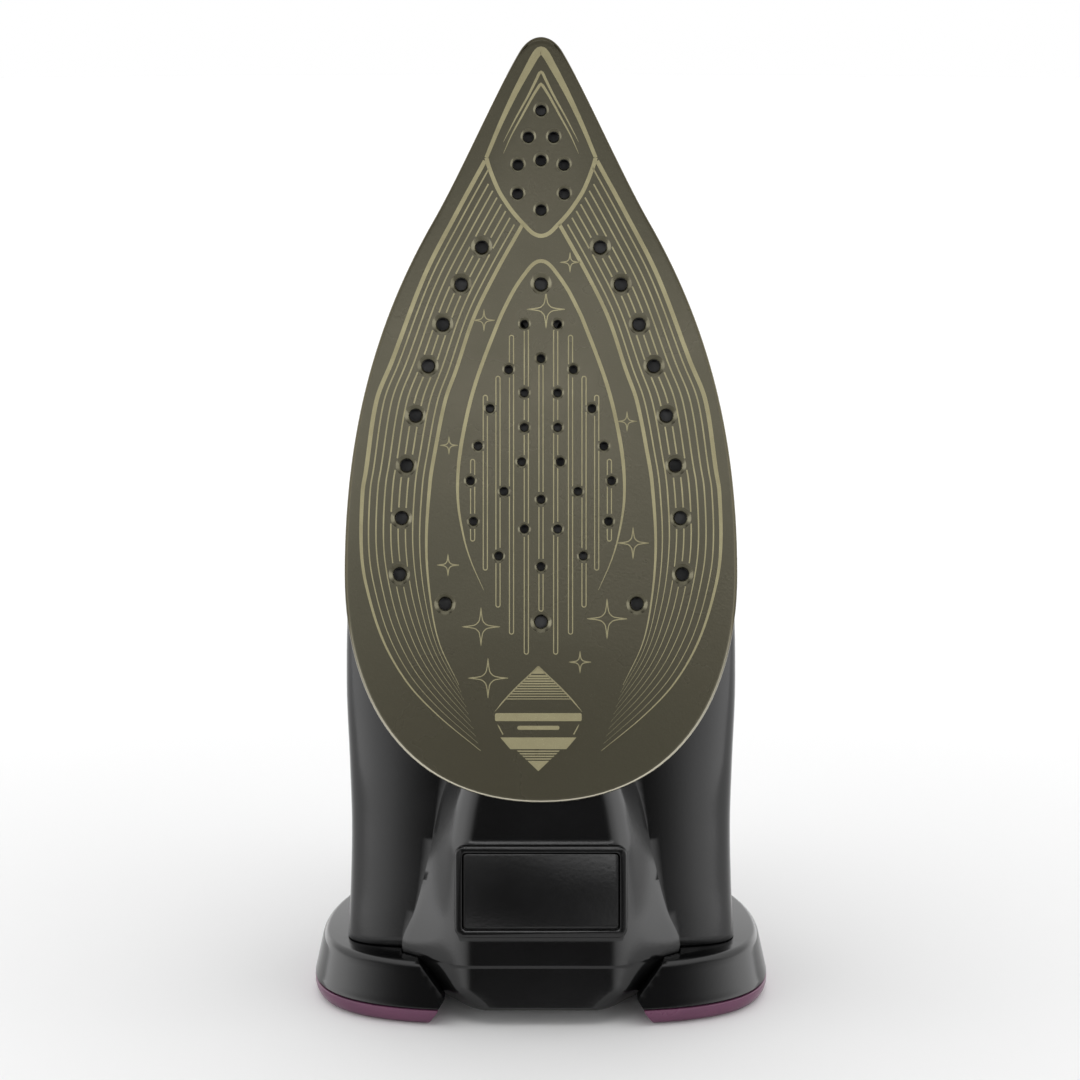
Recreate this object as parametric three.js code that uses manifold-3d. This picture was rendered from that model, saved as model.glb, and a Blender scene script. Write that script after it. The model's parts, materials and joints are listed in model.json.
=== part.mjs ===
// A domestic steam iron standing on its heel, built as the separate pieces it is assembled from.
// Millimetres, +Z up, the floor at Z = 0 and the sole facing -Y.
// The heel is modelled in that standing frame. Everything else is modelled in the iron's own frame,
// which a turned group stands up: x across, y the depth into the iron from the sole's face, and
// z the length from the sole's rear edge to its tip.
import * as THREE from "three";
import { mergeVertices, mergeGeometries } from "three/addons/utils/BufferGeometryUtils.js";
import Module from "manifold-3d";

const wasm = await Module();
wasm.setup();
const { Vector2, Vector3, Matrix4 } = THREE;

// ---------------------------------------------------------------- driving dimensions
const SOLE_LENGTH = 230;
const SOLE_HALF_WIDTH = 59;
const SOLE_THICKNESS = 2.4;
const SOLE_CHAMFER = 0.9;
const LEAN = THREE.MathUtils.degToRad(12);
const HEEL_DROP = 72; // from the sole's rear edge to the floor, along the sole
const IRON_HEIGHT = 151; // the grip's crest above the sole's face, less the soft grip
const FIT = 0.35; // gap between neighbouring pieces
const WALL = 2.6; // moulded shells
const TANK_WALL = 2.2;

const NOSE_HOLE_RADIUS = 1.45;
const RIM_HOLE_RADIUS = 1.75;
const FIELD_HOLE_RADIUS = 1.05;

const CASTING_THICKNESS = 12;
const CASTING_INSET = 7;
const ELEMENT_RADIUS = 3.2;
const CHAMBER_DEPTH = 6;
const COVER_THICKNESS = 1.5;
const SEAL_THICKNESS = 0.9;

const SKIRT_INSET = 3;
const SKIRT_START = 4;
const SKIRT_TOP = 24;
const BODY_OVERHANG = 2; // how much the body is wider than the sole at its widest, each side

const HOUSING_FRONT = 12; // depth of the rear housing's front face
const HOUSING_CLEARANCE = 5; // from the housing's lower edge to the floor
const HOUSING_HALF_WIDTH = 43;
const RATING_WIDTH = 52.6;
const RATING_HEIGHT = 28.2;
const RATING_RIDGE = 2.2;
const RATING_THICKNESS = 1.4;

const PAD_HEIGHT = 5;
const PAD_BAND = 15;
const PAD_TAPER = 1.6;
const HEEL_RIM_HEIGHT = 17.5;
const HEEL_LEDGE = 7.8; // the rim stands this much outside the body, each side
const HEEL_FLARE = 2.7;
const HEEL_DEPTH = 113;
const HEEL_WALL = 3;
// The gap between the feet: its half width at some heights above the floor.
const HEEL_GAP = [[-9, 34.5], [0, 34.5], [4.4, 31.6], [5.4, 31.3], [8.2, 29.4], [17.5, 38], [40, 58.7]];
const COVER_PLATE = 2.2;

const DIAL_RADIUS = 22;
const DIAL_HEIGHT = 9;
const DIAL_SHAFT_RADIUS = 3;
const THERMOSTAT_RADIUS = 11;
const THERMOSTAT_HEIGHT = 4.6;

const BUTTON_WIDTH = 13.4;
const BUTTON_LENGTH = 19;
const BUTTON_TRAVEL = 3.5;
const BUTTON_PROUD = 4.2;
const PISTON_RADIUS = 4.4;
const PUMP_WALL = 1.4;

const SLIDER_TRAVEL = 14;
const SLIDER_LENGTH = 15;
const SLIDER_WIDTH = 13;
const SLIDER_HEIGHT = 5;
const SLIDER_STEM = 4.4;

const FILLER_WIDTH = 19;
const FILLER_LENGTH = 21;
const FILLER_MOUTH_WIDTH = 12;
const FILLER_MOUTH_LENGTH = 12;
const FILLER_NECK_RISE = 4.4;
const DOOR_THICKNESS = 2.2;
const HINGE_PIN_RADIUS = 0.9;

const CORD_BALL_RADIUS = 9.6;
const CORD_BORE_RADIUS = 4.1;
const CORD_RING_WALL = 2.4;
const CORD_NECK = 13;
const GRIP_PROUD = 1.7;

const FUSE_RADIUS = 1.4;
const SCREW_HEAD_RADIUS = 3;
const SCREW_RADIUS = 1.5;

const BODY_HALF_WIDTH = SOLE_HALF_WIDTH + BODY_OVERHANG;
const SADDLE = IRON_HEIGHT * 0.46; // depth of the body's top behind the tank

const KNUCKLE_RADIUS = HINGE_PIN_RADIUS + FIT + 0.9;
const KNUCKLE_WIDTH = 7;
const LUG_WIDTH = 2.4;
const VALVE_BORE = 1.6;
const VALVE_ROD_RADIUS = 1.2;
const VALVE_LIFT = 2.5;
const LINK_HEIGHT = 5;
const LINK_THICKNESS = 1.8;

const DECK_WIDTH = 2 * BUTTON_WIDTH + 7;
const DECK_LENGTH = BUTTON_LENGTH + 5;
const DECK_DEPTH = 17;
const LENS_RADIUS = 2.4;
const NOZZLE_RADIUS = 3.4;
const CORD_RING_HALF = 5;
const CORD_OUT = 10; // the ball's centre, outwards from the frame's origin

const HANDLE_STEPS = 15; // straight pieces along the handle
const FAR = 400; // longer than anything that is cut

// ---------------------------------------------------------------- solids and booleans
function solidOf(geometry) {
  const bare = geometry.index ? geometry.toNonIndexed() : geometry.clone();
  bare.deleteAttribute("normal");
  bare.deleteAttribute("uv");
  const merged = mergeVertices(bare, 1e-3);
  const made = new wasm.Manifold(
    new wasm.Mesh({
      numProp: 3,
      vertProperties: merged.attributes.position.array,
      triVerts: new Uint32Array(merged.index.array),
    }),
  );
  return made;
}

function geometryOf(solid) {
  const mesh = solid.getMesh();
  const geometry = new THREE.BufferGeometry();
  geometry.setAttribute("position", new THREE.BufferAttribute(mesh.vertProperties, mesh.numProp));
  geometry.setIndex(new THREE.BufferAttribute(mesh.triVerts, 1));
  return geometry;
}

const join = (...geometries) => geometryOf(geometries.map(solidOf).reduce((a, b) => a.add(b)));
const common = (a, b) => geometryOf(solidOf(a).intersect(solidOf(b)));
function cut(geometry, ...cutters) {
  return geometryOf(cutters.map(solidOf).reduce((a, b) => a.subtract(b), solidOf(geometry)));
}

const solidly = (geometry) => geometryOf(solidOf(geometry));

// A closed skin over a row of rings with equal counts; contour is the ring's outline for the caps.
function skin(rings, contour) {
  const count = rings[0].length;
  const faces = [];
  for (let r = 0; r + 1 < rings.length; r++) {
    for (let i = 0; i < count; i++) {
      const j = (i + 1) % count;
      const [a, b, c, d] = [r * count + i, r * count + j, (r + 1) * count + j, (r + 1) * count + i];
      faces.push(a, b, c, a, c, d);
    }
  }
  const last = (rings.length - 1) * count;
  const clockwise = THREE.ShapeUtils.isClockWise(contour);
  for (const face of THREE.ShapeUtils.triangulateShape(contour, [])) {
    const [a, b, c] = clockwise ? face.slice().reverse() : face;
    faces.push(c, b, a, last + a, last + b, last + c);
  }
  const points = rings.flat();
  const volume = faces.reduce((sum, _, k) => {
    if (k % 3) return sum;
    const [a, b, c] = [points[faces[k]], points[faces[k + 1]], points[faces[k + 2]]];
    return sum + a.dot(new Vector3().crossVectors(b, c));
  }, 0);
  if (volume < 0) faces.reverse();
  const geometry = new THREE.BufferGeometry().setFromPoints(points);
  geometry.setIndex(faces);
  return geometry;
}

// ---------------------------------------------------------------- outlines and extrusions
// A shape drawn in (x, z) and grown in y, from y0 to y1.
function plate(shape, y0, y1, options = {}) {
  const { bevel = 0, segments = 3 } = options;
  const geometry = new THREE.ExtrudeGeometry(shape, {
    depth: y1 - y0 - 2 * bevel,
    bevelEnabled: bevel > 0,
    bevelThickness: bevel,
    bevelSize: bevel,
    bevelOffset: -bevel,
    bevelSegments: 1,
    curveSegments: segments,
  });
  return geometry.rotateX(Math.PI / 2).translate(0, y1 - bevel, 0);
}

// A shape drawn in (z, y), the side view, and grown in x by half each way.
function slab(shape, half) {
  const settings = { depth: 2 * half, bevelEnabled: false, curveSegments: 5 };
  const geometry = new THREE.ExtrudeGeometry(shape, settings);
  const basis = new Matrix4().makeBasis(new Vector3(0, 0, 1), new Vector3(0, 1, 0), new Vector3(-1, 0, 0));
  return geometry.applyMatrix4(basis).translate(half, 0, 0);
}

function roundedRectangle(width, height, radius) {
  const [w, h] = [width / 2, height / 2];
  const r = Math.min(radius, w * 0.98, h * 0.98);
  const shape = new THREE.Shape();
  shape.moveTo(-w + r, -h).lineTo(w - r, -h).absarc(w - r, -h + r, r, -Math.PI / 2, 0);
  shape.lineTo(w, h - r).absarc(w - r, h - r, r, 0, Math.PI / 2);
  shape.lineTo(-w + r, h).absarc(-w + r, h - r, r, Math.PI / 2, Math.PI);
  shape.lineTo(-w, -h + r).absarc(-w + r, -h + r, r, Math.PI, 1.5 * Math.PI);
  return shape;
}

function block(width, depth, height, x = 0, y = 0, z = 0) {
  return new THREE.BoxGeometry(width, depth, height).translate(x, y, z);
}

// A cylinder along y from y0 to y1.
function rod(radius, y0, y1, x = 0, z = 0, sides = 20) {
  return new THREE.CylinderGeometry(radius, radius, y1 - y0, sides).translate(x, (y0 + y1) / 2, z);
}

// A closed or open outline with radial profile [radius, height], turned about y.
function turned(profile, sides = 16) {
  return new THREE.LatheGeometry(profile.map(([r, h]) => new Vector2(r, h)), sides);
}

function tube(points, radius, sides = 8, steps = 24) {
  const section = new THREE.Shape().absarc(0, 0, radius, 0, 2 * Math.PI);
  return new THREE.ExtrudeGeometry(section, {
    steps,
    curveSegments: sides,
    extrudePath: new THREE.CatmullRomCurve3(points),
  });
}

// The sole's half outline as four cubic curves, in shares of its half width and length.
const SOLE_CURVES = [
  [[0, 0], [0.7, 0], [1, 0.136], [1, 0.2985]],
  [[1, 0.2985], [1, 0.4985], [0.817, 0.64], [0.548, 0.76]],
  [[0.548, 0.76], [0.414, 0.82], [0.229, 0.929], [0.114, 0.979]],
  [[0.114, 0.979], [0.085, 0.992], [0.045, 1], [0, 1]],
];

function curvesOf(list, scaleX, scaleY, shiftX = 0, shiftY = 0) {
  const path = new THREE.CurvePath();
  for (const points of list) {
    const [a, b, c, d] = points.map(([u, v]) => new Vector2(shiftX + u * scaleX, shiftY + v * scaleY));
    path.add(new THREE.CubicBezierCurve(a, b, c, d));
  }
  return path;
}

// A mirrored closed outline from a half outline that starts and ends on the centre line.
function mirrored(half) {
  const left = half.slice(1, -1).reverse().map((p) => new Vector2(-p.x, p.y));
  return new THREE.Shape([...half, ...left]);
}

function halfPoints(path, perCurve) {
  return path.curves.flatMap((curve, k) => curve.getPoints(perCurve).slice(k ? 1 : 0));
}

// The sole's outline drawn in by a given inset: the tip, being pointed, moves back by twice that.
function soleOutline(inset = 0, perCurve = 9) {
  const path = curvesOf(SOLE_CURVES, SOLE_HALF_WIDTH - inset, SOLE_LENGTH - 3 * inset, 0, inset);
  return mirrored(halfPoints(path, perCurve));
}

function soleHalfWidthAt(z) {
  const points = halfPoints(curvesOf(SOLE_CURVES, SOLE_HALF_WIDTH, SOLE_LENGTH), 24);
  const k = points.findIndex((p) => p.y >= z);
  const [a, b] = [points[Math.max(k - 1, 0)], points[Math.max(k, 1)]];
  return THREE.MathUtils.mapLinear(z, a.y, b.y, a.x, b.x);
}

// ---------------------------------------------------------------- the standing frame
const iron = new THREE.Group();
iron.name = "iron";
iron.rotation.x = -LEAN;
const standing = new THREE.Group();
standing.name = "standing";
const IRON_LIFT = HEEL_DROP * Math.cos(LEAN);
const GRIP_CREST = { y: IRON_HEIGHT, z: SOLE_LENGTH * 0.35 };
const DEPTH_SPAN = GRIP_CREST.y * Math.cos(LEAN) + GRIP_CREST.z * Math.sin(LEAN);
iron.position.set(0, -DEPTH_SPAN / 2, IRON_LIFT);
iron.updateMatrix();
const toStanding = iron.matrix.clone();
const toIron = iron.matrix.clone().invert();
const standingY = (y) => y - DEPTH_SPAN / 2;
// The iron-frame z of a plane at height h above the floor, at depth y.
const zAtHeight = (h, y) => (h - IRON_LIFT + y * Math.sin(LEAN)) / Math.cos(LEAN);

const materials = {
  sole: new THREE.MeshStandardMaterial({ color: 0x4d4a3c, roughness: 0.35, metalness: 0.75 }),
  aluminium: new THREE.MeshStandardMaterial({ color: 0xa8a9ab, roughness: 0.45, metalness: 0.9 }),
  steel: new THREE.MeshStandardMaterial({ color: 0xc4c6c8, roughness: 0.3, metalness: 1 }),
  brass: new THREE.MeshStandardMaterial({ color: 0xb89b4c, roughness: 0.35, metalness: 1 }),
  black_plastic: new THREE.MeshStandardMaterial({ color: 0x1b1b1c, roughness: 0.3, metalness: 0 }),
  matte_black: new THREE.MeshStandardMaterial({ color: 0x151515, roughness: 0.7, metalness: 0 }),
  plum: new THREE.MeshStandardMaterial({ color: 0x6a4459, roughness: 0.35, metalness: 0.2 }),
  tank: new THREE.MeshStandardMaterial({ color: 0x4b3243, roughness: 0.1, metalness: 0 }),
  grip: new THREE.MeshStandardMaterial({ color: 0x232325, roughness: 0.85, metalness: 0 }),
  silicone: new THREE.MeshStandardMaterial({ color: 0xb9b7b2, roughness: 0.8, metalness: 0 }),
  white_plastic: new THREE.MeshStandardMaterial({ color: 0xd9d8d2, roughness: 0.5, metalness: 0 }),
  circuit: new THREE.MeshStandardMaterial({ color: 0x1f5a37, roughness: 0.5, metalness: 0 }),
  lens: new THREE.MeshStandardMaterial({ color: 0xd8482e, roughness: 0.15, metalness: 0 }),
};

function add(name, geometry, material, parent = iron) {
  const mesh = new THREE.Mesh(geometry, materials[material]);
  mesh.name = name;
  parent.add(mesh);
  return mesh;
}

// ---------------------------------------------------------------- sole and heat base
const DRAWN = { length: 230, halfWidth: 59 }; // the sole that the hole places below are drawn on
const NOSE_HOLES = [[0, 207.9], [3.8, 199.9], [0, 192.9], [6.9, 191.6], [7.0, 182.9], [0, 178]];
const RIM_HOLES = [
  [17.8, 166.9], [24, 155.7], [29.5, 143.7], [33.9, 131.2], [37.7, 116.3], [40.4, 101.3],
  [41.9, 85.5], [42.5, 68.6], [28.8, 59.7], [0, 155.8], [0, 54.3],
];
const FIELD_HOLES = [
  [5, 143.7], [0, 133.4], [9.7, 130.1], [5, 123.1], [15.3, 118.4], [5, 112.7], [18.9, 107.1],
  [5.8, 102.4], [21.2, 96.7], [11.1, 93.5], [0, 91.1], [20.3, 84.5], [5, 82.2], [12.7, 74.1],
  [0, 70.9],
];

function holeCutters(places, radius, sides, y0, y1) {
  const made = [];
  for (const [x, z] of places) {
    const place = [(x * SOLE_HALF_WIDTH) / DRAWN.halfWidth, (z * SOLE_LENGTH) / DRAWN.length];
    for (const side of x ? [-1, 1] : [1]) {
      made.push(rod(radius, y0, y1, side * place[0], place[1], sides));
    }
  }
  return mergeGeometries(made);
}

const castingStart = SOLE_THICKNESS + FIT;
const castingTop = castingStart + CASTING_THICKNESS;
const sealTop = castingTop + FIT + SEAL_THICKNESS;
const coverStart = sealTop + FIT;
const coverTop = coverStart + COVER_THICKNESS;
const dialZ = SOLE_LENGTH * 0.183;
const valveZ = SOLE_LENGTH * 0.655;
const fuseZ = SOLE_LENGTH * 0.33;

function makeSole() {
  const blank = plate(soleOutline(0, 10), 0, SOLE_THICKNESS, { bevel: SOLE_CHAMFER });
  const through = [-1, SOLE_THICKNESS + 1];
  return cut(
    blank,
    holeCutters(NOSE_HOLES, NOSE_HOLE_RADIUS, 6, ...through),
    holeCutters(RIM_HOLES, RIM_HOLE_RADIUS, 6, ...through),
    holeCutters(FIELD_HOLES, FIELD_HOLE_RADIUS, 6, ...through),
  );
}

// The element lies in a groove round the casting, midway between its edge and the steam chamber.
const elementInset = CASTING_INSET + 2.2 + ELEMENT_RADIUS;
const chamberInset = elementInset + ELEMENT_RADIUS + 2.6;

function elementTube(radius) {
  const outline = soleOutline(elementInset, 6).getPoints();
  const half = outline.slice(2, outline.length / 2 + 1);
  const other = half.slice(0, -1).reverse().map((p) => new Vector2(-p.x, p.y));
  const run = [...half, ...other].map((p) => new Vector3(p.x, castingTop, p.y));
  const ends = [run[0], run[run.length - 1]].map((p) =>
    rod(radius * 0.62, castingTop - 0.5, SKIRT_TOP - WALL - 1.4, p.x, p.z + radius, 12),
  );
  return join(tube(run, radius, 2, 30), ...ends);
}

const castingScrews = [
  [0, SOLE_LENGTH - 2 * chamberInset - 12],
  [-SOLE_HALF_WIDTH + chamberInset + 8, SOLE_LENGTH * 0.33],
  [SOLE_HALF_WIDTH - chamberInset - 8, SOLE_LENGTH * 0.33],
];

function makeCasting() {
  const blank = plate(soleOutline(CASTING_INSET, 6), castingStart, castingTop);
  const chamber = plate(soleOutline(chamberInset, 5), castingTop - CHAMBER_DEPTH, castingTop + 1);
  const gallery = plate(soleOutline(CASTING_INSET + 3, 5), castingStart - 1, castingStart + 1.6);
  const groove = elementTube(ELEMENT_RADIUS + FIT);
  const steamWays = [-1, 1].flatMap((side) => [
    rod(2.4, castingStart, castingTop, side * SOLE_HALF_WIDTH * 0.3, SOLE_LENGTH * 0.45, 10),
    rod(2.4, castingStart, castingTop, side * SOLE_HALF_WIDTH * 0.12, SOLE_LENGTH * 0.62, 10),
  ]);
  const posts = castingScrews.map(([x, z]) => rod(4.2, castingStart + 2, castingTop, x, z, 14));
  const taps = castingScrews.map(([x, z]) =>
    rod(SCREW_RADIUS + FIT, castingTop - 6, castingTop + 1, x, z, 10),
  );
  return cut(join(cut(blank, chamber, gallery, groove), ...posts), ...steamWays, ...taps);
}

function makeChamberSeal() {
  const ring = plate(soleOutline(chamberInset - 1.6, 5), castingTop + FIT, sealTop);
  const inner = plate(soleOutline(chamberInset + 0.4, 5), castingTop, sealTop + 1);
  const groove = elementTube(ELEMENT_RADIUS + FIT);
  return cut(ring, inner, groove);
}

function makeChamberCover() {
  const lid = plate(soleOutline(chamberInset - 1.6, 5), coverStart, coverTop);
  const screwHoles = castingScrews.map(([x, z]) =>
    rod(SCREW_RADIUS + FIT, coverStart - 1, coverTop + 1, x, z, 10),
  );
  const inlet = rod(3.4 + FIT, coverStart - 1, coverTop + 1, 0, valveZ, 14);
  return cut(lid, ...screwHoles, inlet);
}

function screw(headTop, length, x, z) {
  const head = rod(SCREW_HEAD_RADIUS, headTop - 1.8, headTop, x, z, 14);
  const slot = block(0.9, 0.9, 2 * SCREW_HEAD_RADIUS - 1.6, x, headTop - 0.3, z);
  return cut(join(head, rod(SCREW_RADIUS, headTop - length, headTop - 1, x, z, 10)), slot);
}

add("soleplate", makeSole(), "sole");
add("heater_casting", makeCasting(), "aluminium");
add("heating_element", elementTube(ELEMENT_RADIUS), "steel");
add("chamber_seal", makeChamberSeal(), "silicone");
add("steam_chamber_cover", makeChamberCover(), "aluminium");
castingScrews.forEach(([x, z], k) => {
  add(`casting_screw_${k + 1}`, screw(coverTop + FIT + 1.8, 7.5, x, z), "steel");
});

const thermostatStart = coverTop + FIT;
const thermostatTop = thermostatStart + THERMOSTAT_HEIGHT;
const thermostatEars = {
  y: thermostatStart + THERMOSTAT_HEIGHT * 0.3,
  height: THERMOSTAT_HEIGHT * 0.6,
  length: 2 * THERMOSTAT_RADIUS + 9,
};
add(
  "thermostat",
  cut(
    join(
      rod(THERMOSTAT_RADIUS, thermostatStart, thermostatTop, 0, dialZ, 24),
      block(6, thermostatEars.height, thermostatEars.length, 0, thermostatEars.y, dialZ),
    ),
    rod(DIAL_SHAFT_RADIUS + FIT, thermostatTop - 3, thermostatTop + 1, 0, dialZ, 16),
  ),
  "white_plastic",
);
add(
  "thermal_fuse",
  new THREE.CapsuleGeometry(FUSE_RADIUS, 10, 3, 8)
    .rotateX(Math.PI / 2)
    .translate(15, coverTop + FIT + FUSE_RADIUS, fuseZ),
  "white_plastic",
);

// ---------------------------------------------------------------- skirt
const leadSlotZ = SOLE_LENGTH * 0.26;
const leadSlot = () => block(34, 12, 9, 0, SKIRT_TOP, leadSlotZ);

function makeSkirt() {
  const outside = plate(soleOutline(SKIRT_INSET, 8), SKIRT_START, SKIRT_TOP);
  const inside = plate(soleOutline(SKIRT_INSET + WALL, 6), SKIRT_START - 1, SKIRT_TOP - WALL);
  const openings = [
    rod(THERMOSTAT_RADIUS + 1, SKIRT_TOP - WALL - 1, SKIRT_TOP + 1, 0, dialZ, 20),
    block(8, WALL + 2, 2 * THERMOSTAT_RADIUS + 11, 0, SKIRT_TOP - WALL / 2, dialZ),
    rod(6 + FIT, SKIRT_TOP - WALL - 1, SKIRT_TOP + 1, 0, valveZ, 20),
    leadSlot(),
  ];
  return cut(outside, inside, ...openings);
}
add("skirt", makeSkirt(), "matte_black");

// ---------------------------------------------------------------- body hull
// Sections across the iron: widest at depth yc, from y0 below to y1 above, squarer as n grows.

function bodyStations() {
  const base = SKIRT_TOP + FIT;
  const rear = [
    [-0.95, 1.005, 4.6, 23, 0.75, 4.5, 2.2],
    [-0.66, 1, 4.2, 22, 0.745, 4.5, 2.2],
    [-0.42, 0.985, 3, 20, 0.715, 4, 2.2],
    [-0.14, 0.977, 1.5, 17, 0.645, 3.6, 2.3],
    [0.14, 0.985, 0, 14, 0.56, 3.2, 2.5],
  ].map(([share, width, rise, widest, top, low, up]) => ({
    z: share * HEEL_DROP,
    w: BODY_HALF_WIDTH * width,
    y0: base + rise,
    yc: base + widest,
    y1: IRON_HEIGHT * top,
    low,
    up,
  }));
  const middle = [
    [0.15, 1, 12.5, 1.06],
    [0.27, 0.99, 12, 1],
    [0.39, 0.935, 11, 0.97],
  ].map(([share, width, widest, top]) => ({
    z: share * SOLE_LENGTH,
    w: BODY_HALF_WIDTH * width,
    y0: base,
    yc: base + widest,
    y1: SADDLE * top,
    low: 3,
    up: 2.8,
  }));
  const front = [
    [0.52, 10, 0.955, 2.8],
    [0.65, 9, 0.925, 2.7],
    [0.76, 8, 0.88, 2.6],
    [0.85, 7, 0.785, 2.5],
    [0.915, 6, 0.705, 2.4],
    [0.953, 5, 0.59, 2.2],
  ].map(([share, widest, top, up]) => ({
    z: share * SOLE_LENGTH,
    w: soleHalfWidthAt(share * SOLE_LENGTH) - SKIRT_INSET - 0.8,
    y0: base,
    yc: base + widest,
    y1: SADDLE * top,
    low: 3,
    up,
  }));
  return [...rear, ...middle, ...front];
}

const signedPower = (value, power) => Math.sign(value) * Math.abs(value) ** power;

function eggRing(station, inset, z, count) {
  const { w, y0, yc, y1, low, up } = station;
  return Array.from({ length: count }, (_, k) => {
    const angle = (2 * Math.PI * k) / count;
    const [c, s] = [Math.cos(angle), Math.sin(angle)];
    const n = s >= 0 ? up : low;
    const reach = s >= 0 ? y1 - yc - inset : yc - y0 - inset;
    return new Vector3((w - inset) * signedPower(c, 2 / n), yc + reach * signedPower(s, 2 / n), z);
  });
}

function bodyHull(inset, count = inset > 0 ? 16 : 24) {
  const stations = bodyStations();
  const rings = stations.map((station, k) => {
    const shift = k === stations.length - 1 ? -inset : 0;
    return eggRing(station, inset, station.z + shift, count);
  });
  return skin(rings, rings[2].map((p) => new Vector2(p.x, p.y)));
}

function bodyTopAt(z) {
  const stations = bodyStations();
  const k = Math.max(1, stations.findIndex((s) => s.z >= z));
  return THREE.MathUtils.mapLinear(z, stations[k - 1].z, stations[k].z, stations[k - 1].y1, stations[k].y1);
}

// The tank's rear wall, a line that leans forward towards the sole, moved by shift along the iron.
function splitShape(shift, forward) {
  const [top, bottom] = [SOLE_LENGTH * 0.33 + shift, SOLE_LENGTH * 0.45 + shift];
  const end = forward ? FAR : -FAR;
  const shape = new THREE.Shape();
  shape.moveTo(end, -20).lineTo(bottom + 12, -20).lineTo(bottom, SKIRT_TOP);
  shape.bezierCurveTo(bottom - 12, SADDLE * 0.7, top + 8, SADDLE * 0.8, top, SADDLE * 1.1);
  shape.lineTo(top, 160).lineTo(end, 160);
  return shape;
}

// Everything below a height above the floor, as seen from the iron's own frame.
function belowHeight(height) {
  return new THREE.BoxGeometry(FAR, FAR, FAR)
    .translate(0, 0, height - FAR / 2)
    .applyMatrix4(toIron);
}

// The rear housing, a ridge down the middle of the body's underside that carries the rating plate.
function housing(grow, bottomHeight) {
  const base = SKIRT_TOP + 7;
  const front = HOUSING_FRONT - grow;
  const stations = [
    [0.175, 0.6], [0, 0.71], [-0.14, 0.765], [-0.28, 0.815], [-0.49, 0.905], [-0.64, 1],
    [-0.72, 0.955], [-0.81, 0.81], [-0.87, 0.66], [-0.93, 0.56],
  ];
  const half = 9;
  const rings = stations.map(([share, width]) => {
    const arc = Array.from({ length: half + 1 }, (_, k) => {
      const angle = (Math.PI * k) / half;
      const w = HOUSING_HALF_WIDTH * width + grow;
      const x = w * signedPower(Math.cos(angle), 2 / 2.6);
      const y = base - (base - front) * signedPower(Math.sin(angle), 2 / 2.9);
      return new Vector3(x, y, share * HEEL_DROP);
    });
    const back = [-1, 1].map((side) => new Vector3(side * arc[0].x, base + 8, share * HEEL_DROP));
    return [...arc, ...back];
  });
  const ridge = skin(rings, rings[0].map((p) => new Vector2(p.x, p.y)));
  const skirtRoom = plate(soleOutline(SKIRT_INSET - FIT - 0.4, 6), -5, SKIRT_TOP + FIT);
  return cut(ridge, skirtRoom, belowHeight(bottomHeight));
}

const ratingCentreZ = -HEEL_DROP * 0.39;
const ratingFace = HOUSING_FRONT - 0.7;

function ratingFrame() {
  const outer = roundedRectangle(RATING_WIDTH, RATING_HEIGHT, 3);
  outer.holes.push(roundedRectangle(RATING_WIDTH - 2 * RATING_RIDGE, RATING_HEIGHT - 2 * RATING_RIDGE, 1.4));
  return plate(outer, ratingFace, HOUSING_FRONT + 3, { segments: 4 }).translate(0, 0, ratingCentreZ);
}

function ratingRecess() {
  const shape = roundedRectangle(RATING_WIDTH - 2 * RATING_RIDGE, RATING_HEIGHT - 2 * RATING_RIDGE, 1.4);
  const depth = HOUSING_FRONT + RATING_THICKNESS + FIT;
  return plate(shape, HOUSING_FRONT - 4, depth, { segments: 4 }).translate(0, 0, ratingCentreZ);
}

function ratingPlate() {
  const trim = 2 * (RATING_RIDGE + FIT);
  const shape = roundedRectangle(RATING_WIDTH - trim, RATING_HEIGHT - trim, 1.2);
  const back = HOUSING_FRONT + RATING_THICKNESS;
  return plate(shape, HOUSING_FRONT, back, { segments: 3 }).translate(0, 0, ratingCentreZ);
}

const dialTopY = bodyTopAt(dialZ) + DIAL_HEIGHT * 0.55;
const dialSeatY = dialTopY - DIAL_HEIGHT - FIT;

function makeRearBody() {
  const rear = slab(splitShape(-FIT / 2, false), 90);
  const shell = common(bodyHull(0), rear);
  const hollow = bodyHull(WALL);
  const dialSeat = cut(
    rod(DIAL_RADIUS + 1.2 + WALL, dialSeatY - WALL, bodyTopAt(dialZ) - 2, 0, dialZ, 24),
    rod(DIAL_SHAFT_RADIUS + FIT, dialSeatY - WALL - 1, dialSeatY + 1, 0, dialZ, 16),
  );
  const dialRoom = rod(DIAL_RADIUS + 1.2, dialSeatY, dialSeatY + 60, 0, dialZ, 24);
  const shaftRoom = rod(DIAL_SHAFT_RADIUS + FIT, SKIRT_TOP - 4, dialSeatY + 1, 0, dialZ, 16);
  const skirtRoom = plate(soleOutline(SKIRT_INSET - FIT, 6), -5, SKIRT_TOP + FIT);
  const ridge = housing(0, HOUSING_CLEARANCE);
  const ridgeRoom = housing(-WALL, HOUSING_CLEARANCE + WALL);
  const walls = join(cut(shell, hollow), cut(ridge, hollow), ratingFrame());
  const heelRoom = heelRimRoom();
  const leadWay = rod(9, IRON_HEIGHT * 0.5, IRON_HEIGHT, 0, -2, 16);
  const opened = cut(walls, ridgeRoom, heelRoom, skirtRoom, leadWay, leadSlot());
  const backing = roundedRectangle(RATING_WIDTH, RATING_HEIGHT, 3);
  const plateBack = plate(backing, HOUSING_FRONT + 1, HOUSING_FRONT + 5, { segments: 4 });
  plateBack.translate(0, 0, ratingCentreZ);
  return cut(join(opened, plateBack, dialSeat), ratingRecess(), dialRoom, shaftRoom);
}

// ---------------------------------------------------------------- heel, in the standing frame
const heelRimHalf = BODY_HALF_WIDTH + HEEL_LEDGE;
const heelFootHalf = heelRimHalf + HEEL_FLARE;

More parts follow.
